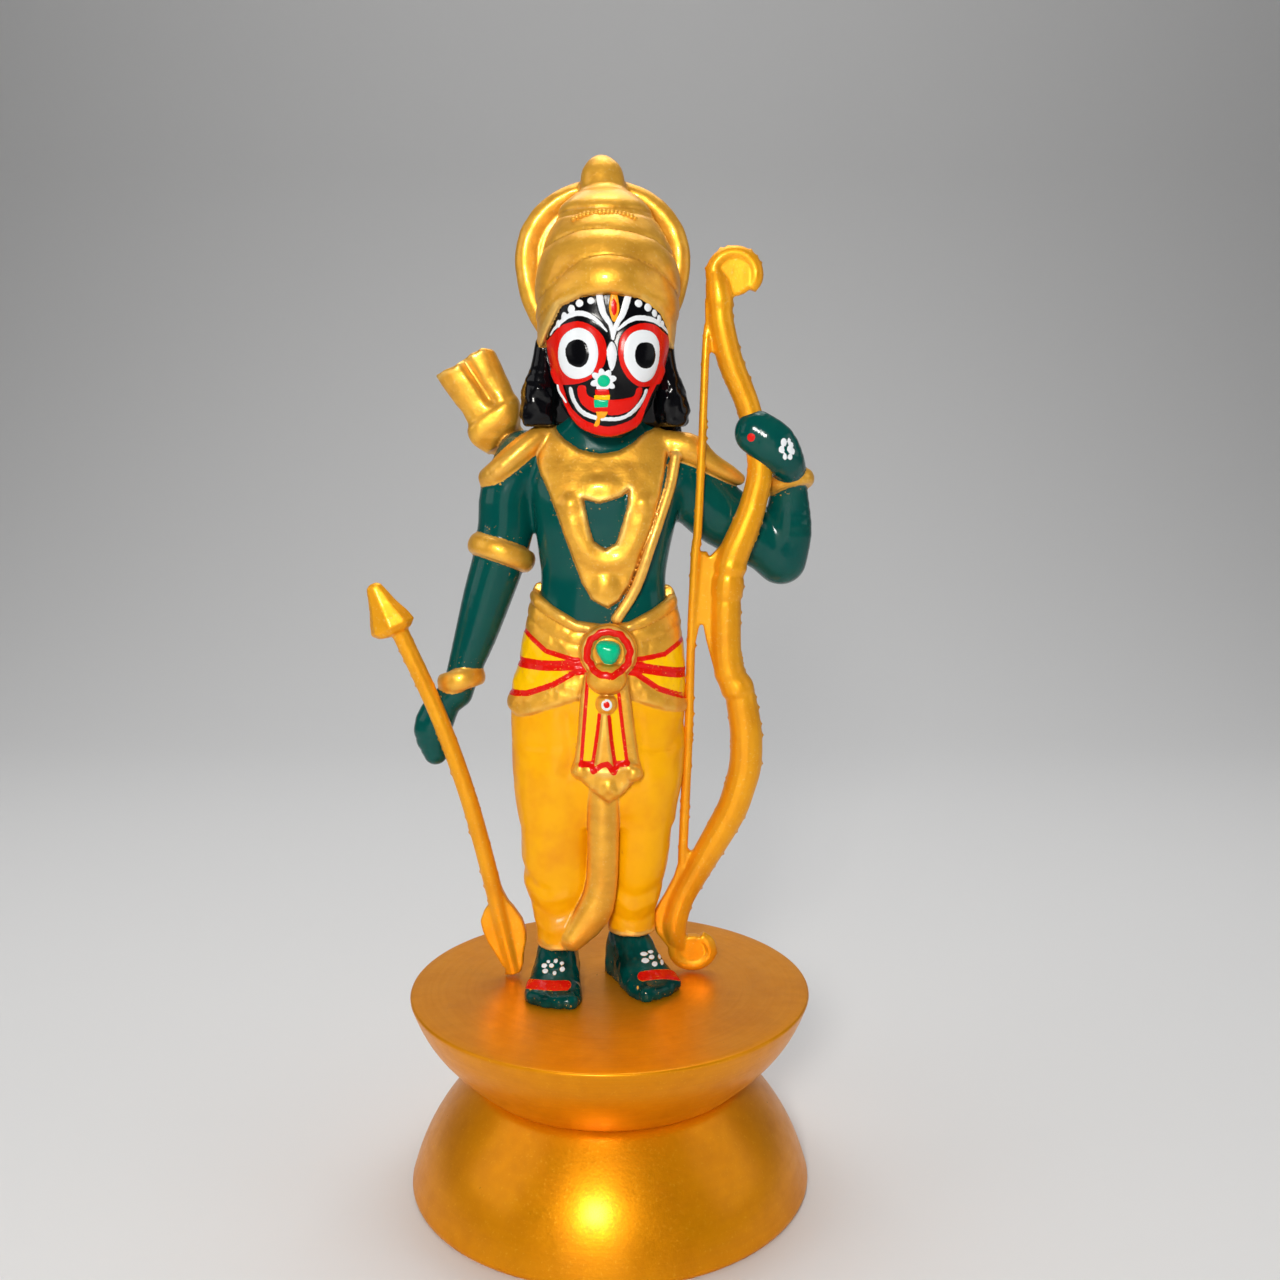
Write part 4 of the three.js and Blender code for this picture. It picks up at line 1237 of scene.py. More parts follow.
SASH = [[-3.3, 78.0], [-4.0, 74.5], [-4.5, 68.0], [-5.2, 63.8], [0.1, 60.0], [4.6, 63.4],
        [3.9, 68.0], [3.1, 74.5], [2.6, 78.0]]
SASH_STRIP = [[-0.9, 73.0], [-1.9, 64.8], [-0.7, 63.8], [0.7, 64.6], [-0.1, 73.0]]
SASH_END = [[-5.5, 63.9], [-4.0, 65.5], [-0.6, 63.9], [2.8, 65.3], [4.8, 63.6], [2.8, 61.2], [0.1, 59.1],
            [-2.9, 61.3]]
sash_parts = [
    plate(hips, SASH, 1.2, 0.6), plate(hips, SASH_STRIP, 1.75, 0.5), plate(hips, SASH_END, 1.9, 0.9),
    ball(-4.1, -4.6, 63.9, 1.2, 1.2, 1.2), ball(3.6, -4.6, 63.6, 1.2, 1.2, 1.2),
    ball(0.0, -4.5, 61.4, 1.6, 1.2, 1.8),
]


def sash(space):
    whole = melt_all(sash_parts[0](space), sash_parts[1:], space, 0.5)
    part, place = window(space, (-6, -8, 58), (6, 0, 67))
    whole[place] -= 0.16 * lumps(part, 1.1, 31) * np.clip((66 - part[2]) / 2, 0, 1)
    return whole


print("the sash is", len(sash_parts), "forms melted together")

# %% [markdown]
# ## Collar, chain and thread
# A broad collar covers the chest, with a window in it through which the skin shows, and a thick
# chain hangs round the window with a boss above it and a drop below. The collar is a plate; the
# chain is a rod whose stations lie on the body, found by walking in from the front.

# %% Lay lines on the chest


def front_of(rows, x, z):
    """How far forward a stack of level sections reaches at a place."""
    middle_x, middle_y, wide, deep = section_at(smooth_rows(rows), z)
    across = min(abs(x - middle_x) / wide, 1)
    return middle_y - deep * (1 - across**SQUARENESS) ** (1 / SQUARENESS)


def laid_on(rows, route, size, sunk):
    """A rod along x and z places on the front of a stack, sunk by a part of its size."""
    return rod([[x, front_of(rows, x, z) + sunk * size, z, size] for x, z in route])


COLLAR = [
    [-11.0, 110.2], [-9.6, 106.3], [-8.3, 103.4], [-7.1, 100.4], [-6.0, 97.2], [-4.9, 94.1], [-3.8, 90.9],
    [-2.4, 88.7], [-0.1, 87.3], [1.6, 88.6], [3.1, 90.7], [4.5, 94.1], [5.9, 98.0], [6.7, 101.0],
    [7.4, 104.0], [8.2, 108.1], [8.9, 111.6], [7.4, 113.2], [5.3, 112.3], [3.8, 110.9], [1.6, 109.6],
    [-1.2, 109.2], [-4.1, 109.8], [-6.3, 111.2], [-8.1, 113.2], [-11.0, 113.4], [-12.2, 112.6],
]
WINDOW = [[-3.7, 103.1], [-2.85, 99.4], [-2.3, 96.9], [-0.45, 95.7], [1.2, 96.6], [2.2, 99.6],
          [2.85, 102.1], [3.0, 104.3], [1.8, 103.3], [-1.3, 102.4]]
CHAIN = [[-5.5, 101.8], [-4.7, 98.2], [-2.7, 95.0], [0.0, 93.9], [2.5, 95.0], [4.2, 98.2], [5.0, 102.2]]
THREAD = [[9.6, 0.4, 108.8], [9.0, -0.5, 105.4], [8.1, -1.3, 102.4], [6.0, -2.6, 96.2], [3.9, -2.4, 90.2],
          [1.2, -2.6, 85.8]]

collar_plate = plate(torso, COLLAR, 0.75, 0.7)
chain = laid_on(TORSO, CHAIN, 1.15, 0.0)
COLLAR_BOSSES = [
    (-1.0, 0.4, 104.6, 2.8, 1.4, 1.3), (-5.3, 0.3, 102.2, 1.2, 1.3, 1.3),
    (4.8, 0.3, 102.2, 1.2, 1.3, 1.3), (-0.4, 0.2, 90.6, 1.7, 1.5, 1.9),
]
collar_bosses = [ball(x, front_of(TORSO, x, z) + sunk, z, *sizes) for x, sunk, z, *sizes in COLLAR_BOSSES]
thread = rod([[*place, 0.76, 0.6] for place in THREAD])


def collar(space):
    part, place = window(space, (-11, -6, 86), (10, BODY_Y, 114))
    x, y, z = part
    hole = outline(WINDOW, x, z)
    whole = overlap(collar_plate(part), -hole + 0 * y, 0.5)
    whole = melt_all(melt(whole, chain(part), 0.9), collar_bosses, part, 1.0)
    return spread(space, place, whole - 0.07 * lumps(part, 1.4, 12))


print("the collar's outline has", len(COLLAR), "corners")

# %% [markdown]
# ## Bands on the arms and the quiver
# Rings of twisted cloth sit above the elbow and at both wrists, and a roll of cloth lies over
# each shoulder. Behind the right shoulder stands the quiver's flared mouth; hidden from the
# front, the quiver itself slants down the back under a strap, kept plain.

# %% Arm bands, shoulder rolls and the quiver
arm_bands = [
    hoop((-16.0, 4.2, 94.9), (0.36, 0.15, 1), 4.1, 1.05, 1.6),
    hoop((-22.2, 3.5, 76.0), (-0.3, 0.1, 1), 2.6, 1.0, 1.6),
    hoop((26.7, 5.4, 105.2), (-0.25, 0.3, 1), 2.7, 0.95, 1.25),
]
shoulder_rolls = [
    rod([[-8.6, 2.8, 112.5, 1.2, 1.6], [-10.4, 2.0, 111.6, 1.6, 2.0], [-13.1, 1.6, 109.3, 1.75, 2.4],
         [-16.0, 1.9, 106.8, 1.8, 2.6], [-17.5, 3.2, 105.9, 1.6, 2.4]]),
    rod([[7.0, 2.8, 111.5, 1.4, 1.7], [9.6, 2.2, 110.5, 2.1, 1.9], [12.0, 2.4, 109.9, 2.2, 2.0],
         [14.6, 3.2, 108.1, 1.6, 1.9], [17.6, 4.4, 106.5, 1.25, 1.8], [19.1, 4.9, 105.7, 0.9, 1.5]]),
]
QUIVER = [
    [-1.0, 14.2, 88.0, 2.6, 2.4], [-6.2, 13.2, 96.0, 2.9, 2.7], [-10.8, 11.8, 104.0, 3.0, 2.8],
    [-13.6, 9.8, 109.0, 2.9, 2.9], [-16.0, 7.8, 112.4, 2.8, 2.8], [-17.0, 6.6, 115.2, 2.2, 2.2],
]
MOUTH_ORIGIN = (-16.1, 6.0, 115.5)
MOUTH_AXES = [[0.839, 0, 0.545], [0, 1, 0], [-0.545, 0, 0.839]]
MOUTH_ROWS = [
    [-4.0, -2.6, 0.9, 2.4, 2.0], [-2.6, -2.0, 0.6, 3.7, 2.5], [-1.2, -1.6, 0.4, 4.35, 2.9],
    [0.2, -1.2, 0.2, 4.35, 2.8], [1.2, -0.8, 0.1, 4.0, 2.2], [3.6, -0.6, 0.0, 4.15, 2.2],
    [7.0, -0.4, 0.0, 4.5, 2.4], [10.5, -0.3, 0.0, 4.85, 2.5],
]
LIP = [[-5.6, 9.9], [-4.3, 9.35], [-1.8, 8.95], [1.2, 9.05], [2.9, 8.95], [4.1, 8.1], [4.7, 6.4]]
CUP_DEPTH = 1.6


def mouth_form(space):
    """The flared mouth along its own z: a cuff, two panels, a slanted lip and a hollow."""
    x, y, z = space
    shell = stack(MOUTH_ROWS, 3.0)(space)
    front = np.clip(-y / 1.5, 0, 1)
    groove = 0.75 * np.exp(-((x + 0.15) / 0.7) ** 2) * np.clip((z - 1.0) / 1.2, 0, 1)
    shell = shell + front * groove + 0.14 * lumps(space, 1.5, 21)
    lip = z - np.interp(x, np.array(LIP)[:, 0], np.array(LIP)[:, 1]) + 0.1 * lumps(space, 1.1, 22)
    cup = np.maximum(shell + 1.7, -lip - CUP_DEPTH)
    return overlap(overlap(shell, lip, 0.6), -cup, 0.5)


quiver_mouth = placed(mouth_form, MOUTH_ORIGIN, MOUTH_AXES, (-27, 2, 108), (-11, 10, 126))
quiver_body = rod(QUIVER)
back_strap = rod([[9.6, 6.4, 106.6, 0.7, 1.0], [2.0, 9.8, 99.0, 1.6, 0.9], [-6.0, 9.2, 90.4, 0.7, 1.0]])


def quiver(space):
    return melt(quiver_body(space), quiver_mouth(space), 0.9)


print("arm bands:", len(arm_bands), "and shoulder rolls:", len(shoulder_rolls))

# %% [markdown]
# ## Casting the upper body
# The parts are joined in one list, each with the zone it makes. The same list then paints the
# casting: where a part's own distance is less than the distance of everything before it, that
# part is what shows. So every border follows its form exactly, whatever the size of the mesh.
# The figure is one casting, but it is drawn in two halves that meet under the scarf's top edge,
# where one lies over the other anyway. That lets each half have smaller faces.

# %% The upper casting
UPPER_PARTS = [
    ("skin", torso, 0),
    ("skin", rod(RIGHT_ARM), 1.2), ("skin", rod(RIGHT_HAND), 1.0),
    ("skin", rod(LEFT_UPPER_ARM), 1.6), ("skin", rod(LEFT_FOREARM), 1.2), ("skin", rod(LEFT_HAND), 1.0),
    ("gold", quiver, 0.3), ("gold", back_strap, 0.3),
    ("gold", thread, 0.25), ("gold", collar, 0.2),
    ("gold", shoulder_rolls[0], 0.7), ("gold", shoulder_rolls[1], 0.7),
    *[("gold", band, 0.3) for band in arm_bands],
]
UPPER_BOX = ((-31.0, -7.0, 61.0), (32.0, 18.5, 127.0))
UPPER_STEP = 0.29
upper = union_of(UPPER_PARTS)
upper_piece, upper_points, upper_outward = cast("figure_upper", upper, *UPPER_BOX, UPPER_STEP)

# %% Paint the upper casting
HAND_DOTS = [
    (24.9, 110.9, 0.42, 0.6), (25.7, 111.1, 0.28, 0.5), (24.6, 109.9, 0.42, 0.5), (25.8, 110.0, 0.42, 0.5),
    (26.3, 109.6, 0.25, 0.45), (25.1, 108.9, 0.3, 0.5), (25.9, 108.9, 0.3, 0.5), (26.1, 110.5, 0.25, 0.4),
]
HAND_SPOT = [(20.3, 111.6, 0.55, 0.6)]
# Marks on the hand and the feet show only in front of these depths
HAND_BACK = 2.0

upper_zones = zones_of(UPPER_PARTS, upper_points)
upper_coat = Coat(upper_points, "skin", "gold", "white", "red")
upper_coat.brush("gold", upper_zones["gold"])
on_hand = np.maximum(upper_zones["skin"], upper_points[:, 1] - HAND_BACK)
across, _, up = upper_points.T
upper_coat.brush("white", np.maximum(drops(across, up, HAND_DOTS), on_hand), 0.16, 0.35)
upper_coat.brush("red", np.maximum(drops(across, up, HAND_SPOT), on_hand), 0.05)
finish_casting(upper_piece, upper_coat, upper, upper_outward)

# %% [markdown]
# ## Casting the lower body
# The cloth, the scarf with its brooch and sash, and the feet are the second half. Its painting is
# finer: red lines between yellow ribbons, drawn along the same lines that shaped the folds.

# %% The lower casting
LOWER_PARTS = [
    ("feet", feet[0], 0), ("feet", feet[1], 0),
    ("cloth", cloth, 0.15), ("pleat", pleat, 0.35),
    ("scarf", scarf, 0.2), ("sash", sash, 0.2),
    ("brooch", brooch_boss, 0.3), ("brooch", brooch_lobe, 0.5), ("brooch", brooch_ring, 0.2),
    ("stone", brooch_stone, 0.15), ("pendant", pendant, 0.3),
]
lower_parts = union_of(LOWER_PARTS)


def lower(space):
    return overlap(lower_parts(space), PLINTH_TOP - space[2], 0)


LOWER_BOX = ((-17.0, -11.0, 29.0), (13.5, 13.5, 92.0))
LOWER_STEP = 0.27
lower_piece, lower_points, lower_outward = cast("figure_lower", lower, *LOWER_BOX, LOWER_STEP)

# %% Lines painted on the scarf
LINE_WIDTHS = [(HIGH_LINE, 0.75), (MIDDLE_LINE, 1.5), (LOW_LINE, 0.85)]


def beside(low, high, points):
    """Less than nothing between two lines of the scarf."""
    x, y, z = points.T
    return np.maximum(line_height(low, x, y) - z, z - line_height(high, x, y))


def along_line(line, width, points):
    """Less than nothing on a painted line of the scarf."""
    x, y, z = points.T
    slope = (line_height(line, x + 0.1, y) - line_height(line, x - 0.1, y)) / 0.2
    return np.abs(z - line_height(line, x, y)) / np.hypot(1, slope) - width / 2


def paint_scarf(coat, zone):
    points = coat.points
    coat.brush("yellow", np.maximum(beside(LOW_LINE, HIGH_LINE, points), zone))
    for line, width in LINE_WIDTHS:
        coat.brush("red", np.maximum(along_line(line, width, points), zone), 0.05)


# %% Lines painted on the sash, the brooch and the feet
SASH_YELLOW = [[-3.2, 77.6], [-3.97, 65.1], [2.6, 65.1], [1.4, 77.6]]
SASH_PALE = [[-0.8, 73.5], [-1.38, 72.0], [-2.39, 64.5], [0.95, 64.0], [0.06, 72.0], [-0.3, 73.5]]
SASH_LINES = [
    [[-3.0, 77.6], [-3.3, 73.5], [-3.97, 65.1]], [[1.3, 77.0], [1.75, 72.5], [2.64, 65.1]],
    [[-1.3, 72.2], [-1.75, 68.5], [-2.35, 64.8]], [[0.06, 72.2], [0.4, 68.5], [0.95, 64.6]],
]
SASH_LINE_HALF = 0.275
SASH_ZIGZAG = [[-3.97, 65.0], [-2.5, 65.0], [-2.2, 64.0], [-1.0, 64.9], [-0.2, 65.1], [0.75, 63.8],
               [1.35, 65.0], [2.7, 65.1]]
RING_RADIUS = 3.05
FOOT_DOTS = [
    (-9.7, 32.65, 0.4, 0.36), (-9.1, 33.28, 0.26, 0.26), (-8.6, 32.65, 0.36, 0.34), (-8.0, 33.4, 0.3, 0.34),
    (-9.5, 31.8, 0.42, 0.36), (-8.1, 31.5, 0.28, 0.34), (-7.1, 33.0, 0.3, 0.3), (-7.0, 32.1, 0.36, 0.4),
    (5.1, 34.5, 0.55, 0.32), (6.1, 34.85, 0.42, 0.26), (6.25, 34.0, 0.42, 0.36), (7.45, 34.1, 0.24, 0.4),
    (5.3, 33.45, 0.58, 0.42), (6.7, 32.9, 0.42, 0.4), (7.8, 33.2, 0.26, 0.45),
]
FOOT_STRIPES = [
    [[-12.5, 29.9], [-10.4, 29.75], [-8.2, 29.6], [-6.3, 29.65]],
    [[4.9, 31.0], [6.6, 31.25], [8.6, 31.3], [10.6, 31.0]],
]
INSTEP_BACK = 3.0
HEM_HEIGHTS = (37.5, 38.6)


def paint_sash(coat, zone):
    x, _, z = coat.points.T
    coat.brush("yellow", np.maximum(outline(SASH_YELLOW, x, z), zone))
    coat.brush("gold", np.maximum(outline(SASH_PALE, x, z), zone))
    for line in SASH_LINES:
        coat.brush("red", np.maximum(stroke(line, x, z) - SASH_LINE_HALF, zone), 0.05)
    coat.brush("red", np.maximum(stroke(SASH_ZIGZAG, x, z, 1) - 0.42, zone), 0.05)


def paint_brooch(coat, zones):
    x, _, z = coat.points.T
    out = np.hypot(x - BROOCH[0], z - BROOCH[2])
    turn = np.arctan2(z - BROOCH[2], x - BROOCH[0])
    wavy = RING_RADIUS + 0.07 * np.sin(8 * turn) + 0.06 * np.sin(13 * turn + 1)
    coat.brush("red", np.maximum(np.abs(out - wavy) - 0.52, zones["brooch"]), 0.05)
    coat.brush("green", zones["stone"], 0.1, 0.6)
    # Painted highlight: a white ring round the pendant's red dot.
    coat.brush("white", np.maximum(drops(x, z, [(-0.25, 73.75, 0.78, 0.85)]), zones["pendant"]))
    coat.brush("red", np.maximum(drops(x, z, [(-0.25, 73.8, 0.45, 0.5)]), zones["pendant"]))


def paint_feet(coat, zone):
    """The instep slopes, so its marks are placed by height and depth together."""
    x, y, z = coat.points.T
    seen = z + 0.4 * y
    for line in FOOT_STRIPES:
        coat.brush("red", np.maximum(stroke(line, x, seen) - 0.75, zone), 0.08)
    front = np.maximum(zone, y - INSTEP_BACK)
    coat.brush("white", np.maximum(drops(x, seen, FOOT_DOTS), front), 0.2, 0.3)
    # Gold specks along the foot's lower edge: stray gold paint and painted sheen together.
    low_edge = np.maximum(zone, np.abs(z - 31.0) - 1.0)
    specks = 0.5 * (0.75 - lumps([x, y, z], 0.6, 41))
    coat.brush("gold", np.maximum(specks, low_edge), 0.05)


def paint_hems(coat, zone):
    x, _, z = coat.points.T
    ragged = 0.45 * lumps(list(coat.points.T), 0.9, 33)
    hem = np.where(x < -1, HEM_HEIGHTS[0], HEM_HEIGHTS[1]) + ragged
    coat.brush("gold", np.maximum(z - hem, zone), 0.06)


lower_zones = zones_of(LOWER_PARTS, lower_points)
lower_coat = Coat(lower_points, "cloth", "skin", "gold", "yellow", "red", "white", "green")
lower_coat.brush("skin", lower_zones["feet"])
for zone in ("pleat", "scarf", "sash", "brooch", "pendant"):
    lower_coat.brush("gold", lower_zones[zone])
paint_hems(lower_coat, lower_zones["cloth"])
paint_scarf(lower_coat, lower_zones["scarf"])
paint_sash(lower_coat, lower_zones["sash"])
paint_brooch(lower_coat, lower_zones)
paint_feet(lower_coat, lower_zones["feet"])
finish_casting(lower_piece, lower_coat, lower, lower_outward)

# %% [markdown]
# ## The head
# The head is a smooth egg that carries a painted face, framed by black hair that falls in two
# bulging locks. The crown is drawn upright and leaned back. Its tiers rise to an arch in front,
# so they are bands between drawn lines, exactly like the scarf.

# %% Rows of the head, hair and crown
HEAD_Y = 1.4
CROWN_LEAN = 7.0
CROWN_PIVOT = 128.0

HEAD = [
    [111.6, -0.1, -1.6, 2.1, 2.6], [112.7, -0.1, -0.9, 3.8, 4.4], [115.2, -0.1, 0.3, 5.5, 6.4],
    [118.6, -0.15, 0.9, 7.1, 7.6], [122.0, -0.1, 1.2, 8.25, 8.2], [126.0, 0.0, 1.4, 8.9, 8.3],
    [131.0, 0.2, 1.4, 8.6, 8.2], [135.0, 0.2, 1.4, 7.4, 7.0],
]
HAIR_BACK = [
    [106.5, 0.0, 8.0, 7.0, 1.6], [110.0, 0.0, 6.8, 10.2, 3.6], [115.0, 0.0, 5.8, 10.7, 5.4],
    [120.0, 0.0, 5.4, 9.9, 5.9], [126.0, 0.0, 5.0, 9.4, 6.0],
]
LOCKS = [
    [[-9.2, 1.6, 124.8, 1.3], [-9.4, 1.2, 121.6, 1.7], [-9.9, 1.0, 118.2, 2.4],
     [-10.2, 1.2, 115.2, 2.5], [-9.9, 1.6, 113.4, 1.9]],
    [[8.0, 1.6, 124.8, 1.2], [8.2, 1.2, 121.2, 1.6], [8.8, 1.0, 118.0, 2.2],
     [9.3, 1.2, 115.2, 2.4], [9.2, 1.6, 113.0, 2.0]],
]
HAIR_END = 113.2
CROWN = [
    [124.0, -0.3, 2.0, 9.8, 8.6], [125.8, -0.3, 1.8, 10.1, 9.2], [129.6, -0.1, 1.6, 10.2, 9.7],
    [133.0, -0.1, 1.6, 10.1, 9.7], [136.4, -0.1, 1.7, 9.7, 9.1], [138.6, -0.2, 1.8, 8.9, 8.3],
    [140.8, -0.3, 1.9, 7.9, 7.2], [142.4, -0.4, 2.0, 7.2, 6.8], [143.8, -0.5, 2.0, 6.4, 6.0],
    [145.2, -0.5, 2.1, 5.2, 4.8], [146.4, -0.6, 2.2, 3.9, 3.6], [147.3, -0.6, 2.2, 2.4, 2.3],
]
BROW_OPENING = [
    [-9.1, 116.0], [-8.95, 124.8], [-8.3, 126.2], [-7.5, 127.5], [-6.5, 129.3], [-3.4, 130.5], [0.4, 130.8],
    [4.4, 130.3], [7.2, 128.4], [8.25, 126.4], [8.6, 124.6], [8.7, 116.0],
]
KNOB = [
    [144.0, -0.5, 3.6, 3.3, 3.1], [147.4, -0.8, 4.6, 3.2, 2.9], [149.2, -0.9, 4.9, 2.95, 2.7],
    [150.3, -0.9, 5.0, 2.4, 2.2], [151.1, -1.0, 5.0, 1.6, 1.5], [151.6, -1.0, 5.0, 0.7, 0.6],
]

# Lines across the front of the crown, in x and z
BRIM_LINE = [[-11, 127.0], [-9, 129.0], [-6.4, 130.6], [0.4, 131.6], [7.2, 130.4], [9, 129.0], [11, 127.0]]
TIER_ONE = [[-11, 129.6], [-9.4, 131.0], [-7.4, 132.6], [-5.5, 134.2], [-3.0, 135.5], [-0.2, 136.0],
            [3.6, 135.6], [6.6, 134.6], [9.0, 132.6], [10.6, 130.6]]
TIER_TWO = [[-11, 136.6], [-9.1, 137.8], [-6.2, 138.9], [-3.8, 139.6], [0.1, 139.7],
            [3.6, 139.3], [6.6, 138.6], [8.6, 137.3], [10.4, 136.4]]
TIER_THREE = [[-11, 141.6], [-6.0, 142.1], [0.0, 142.1], [4.5, 142.2], [10.0, 141.8]]
BEAD_LINE = [[-11, 142.6], [-6.0, 142.9], [0.0, 142.9], [4.5, 143.1], [10.0, 142.8]]
CROWN_EDGE = [[-11, 145.6], [-6.0, 146.0], [0.0, 146.4], [4.5, 146.2], [10.0, 145.8]]
CROWN_BANDS = [
    (BRIM_LINE, TIER_ONE, 0.22), (TIER_ONE, TIER_TWO, 0.5), (TIER_TWO, TIER_THREE, 0.42),
    (TIER_THREE, BEAD_LINE, 0.05), (BEAD_LINE, CROWN_EDGE, 0.45),
]

head = stack(HEAD)
hair_back = stack(HAIR_BACK)
knob = stack(KNOB, 2.0)
locks = [rod(lock) for lock in LOCKS]
crown_shape = stack(CROWN, 2.0)
brow_dome = ball(0.3, -5.2, 132.7, 4.6, 3.0, 3.1)
print("bands in the crown:", len(CROWN_BANDS))

# %% The crown, hair and halo
lean = math.radians(CROWN_LEAN)
CROWN_AXES = [[1, 0, 0], [0, math.cos(lean), -math.sin(lean)], [0, math.sin(lean), math.cos(lean)]]


def upright_crown(space):
    x, y, z = space
    return crown_shape([x, y + HEAD_Y, z + CROWN_PIVOT])


leaned_crown = placed(upright_crown, (0, HEAD_Y, CROWN_PIVOT), CROWN_AXES, (-11, -9, 122), (11, 14, 149))


def crown(space):
    whole = leaned_crown(space)
    part, place = window(space, (-11, -10, 122), (11, 15, 149))
    x, y, z = part
    front = np.clip((7 - y) / 5, 0, 1)
    relief = 0.05 * lumps(part, 1.7, 14)
    relief = banded(relief, CROWN_BANDS, x, y, z, front)
    made = melt(whole[place] + 0.25 - relief, brow_dome(part), 1.8)
    opening = np.maximum(outline(BROW_OPENING, x, z), y - HEAD_Y + 2)
    whole[place] = overlap(made, -opening, 0.7)
    return whole


def hair(space):
    whole = melt_all(hair_back(space), locks, space, 0.8)
    part, place = window(space, (-13, -2, 106), (13, 12, 126))
    side = np.clip((np.abs(part[0]) - 6.5) / 1.5, 0, 1)
    lumpy = 0.3 * lumps(part, 1.6, 17) + 0.17 * lumps(part, 0.85, 18)
    bulging = whole[place] - side * lumpy * np.clip((122 - part[2]) / 4, 0, 1)
    strands = 0.22 * np.cos(2.6 * part[0] + 1.2 * np.sin(0.3 * part[2]))
    bulging = bulging + strands * np.clip((part[1] - 7) / 2, 0, 1)
    flat_end = melt(HAIR_END - part[2], 3.4 - part[1], 0.5)
    whole[place] = overlap(bulging, flat_end, 0.7)
    return whole


HALO = {"x": -0.95, "y": 5.6, "z": 137.5, "radius": 12.75, "rise": 0.88, "drop": 1.25}
HALO_TUBE = 1.5
HALO_DISC = 0.75
HALO_GROOVES = [(8.3, 0.16), (9.4, 0.12)]


def halo(space):
    """A disc with a rolled rim behind the crown, taller below its middle than above."""
    reach = HALO["radius"] * HALO["drop"]
    low = (HALO["x"] - HALO["radius"], HALO["y"] - 1, HALO["z"] - reach)
    high = (HALO["x"] + HALO["radius"], HALO["y"] + 3, HALO["z"] + reach)
    (x, y, z), place = window(space, low, high)
    tall = np.where(z > HALO["z"], HALO["rise"], HALO["drop"])
    out = np.hypot(x - HALO["x"], (z - HALO["z"]) / tall)
    middle = HALO["radius"] - HALO_TUBE
    rim = np.hypot(out - middle, y - HALO["y"] - HALO_TUBE * 0.75) - HALO_TUBE
    disc = np.maximum(out - middle, np.abs(y - HALO["y"] - HALO_TUBE * 0.55) - HALO_DISC)
    for radius, deep in HALO_GROOVES:
        disc = disc + deep * np.exp(-((out - radius) / 0.25) ** 2)
    whole = melt(rim, disc, 0.8) - 0.06 * lumps([x, y, z], 1.3, 23)
    return spread(space, place, whole)


HEAD_PARTS = [
    ("skin", head, 0), ("hair", hair, 0.15), ("gold", halo, 0.25), ("gold", crown, 0.2), ("gold", knob, 0.8),
]
HEAD_BOX = ((-14.5, -9.5, 105.0), (12.8, 14.0, 153.0))
HEAD_STEP = 0.28
head_whole = union_of(HEAD_PARTS)
head_piece, head_points, head_outward = cast("figure_head", head_whole, *HEAD_BOX, HEAD_STEP)
head_zones = zones_of(HEAD_PARTS, head_points)
head_coat = Coat(head_points, "skin", "gold", "black")
head_coat.brush("gold", head_zones["gold"])
head_coat.brush("black", head_zones["hair"])
finish_casting(head_piece, head_coat, head_whole, head_outward)

# %% [markdown]
# ## A row of beads on the crown
# One tier of the crown ends in a row of small beads. They are the same shape again and again along
# a line, so a tree of geometry nodes walks the line and sets a bead at every step.

# %% The rule of a bead row
BEAD_SIZES = {"Count": 17, "Bead Size": 0.4, "Bead Seed": 3}
BEAD_PATH = [[-4.9, 141.7], [-3.4, 141.95], [-1.4, 142.15], [0.6, 142.15], [2.4, 142.0], [4.0, 141.7]]


def bead_tree(material):
    tree, sizes = start_tree("beads_on_a_line", BEAD_SIZES)
    size = sizes.outputs
    line = add(tree, "GeometryNodeMeshToCurve", size["Geometry"])
    spots = add(tree, "GeometryNodeCurveToPoints", line, size["Count"], None, mode="COUNT")
    grain = random_number(tree, 0.8, 1.2, size["Bead Seed"])
    bead = add(tree, "GeometryNodeMeshIcoSphere", size["Bead Size"], 2)
    beads = add(tree, "GeometryNodeInstanceOnPoints", spots, None, bead, None, None, None, grain)
    end_tree(tree, beads, material)
    return tree


bead_gold = gold_paint("crown_bead_gold", (700, 700, 700), 0.03, FIGURE_TONES)
bead_rule = bead_tree(bead_gold)
bead_places = np.array([[x, -3.0, z] for x, z in smooth_rows(BEAD_PATH, 4)])
bead_places = settle(bead_places, head_whole, 12.0, 6)
bead_line = bpy.data.meshes.new("bead_line")
bead_line.from_pydata(bead_places.tolist(), [(a, a + 1) for a in range(len(bead_places) - 1)], [])
bead_piece = grow("crown_beads", bead_rule, BEAD_SIZES, bead_line)
bead_piece.data.transform(TO_METRES)
finish_piece(bead_piece, bead_gold, "figure_paint", "figure")
print("beads on the crown:", BEAD_SIZES["Count"])

# %% [markdown]
# ## The painted face
# The face is painted in the old way of temple dolls: two great round eyes, a drop for the nose
# with a flower below it, and a wide smile, all flat colours on black. The egg of the head carries
# only a soft swelling under each eye and a roll along the jaw. The painting needs the finest
# mesh of all, so the face is a thin shell of its own laid on the head, with its rim hidden by
# the crown and the hair.

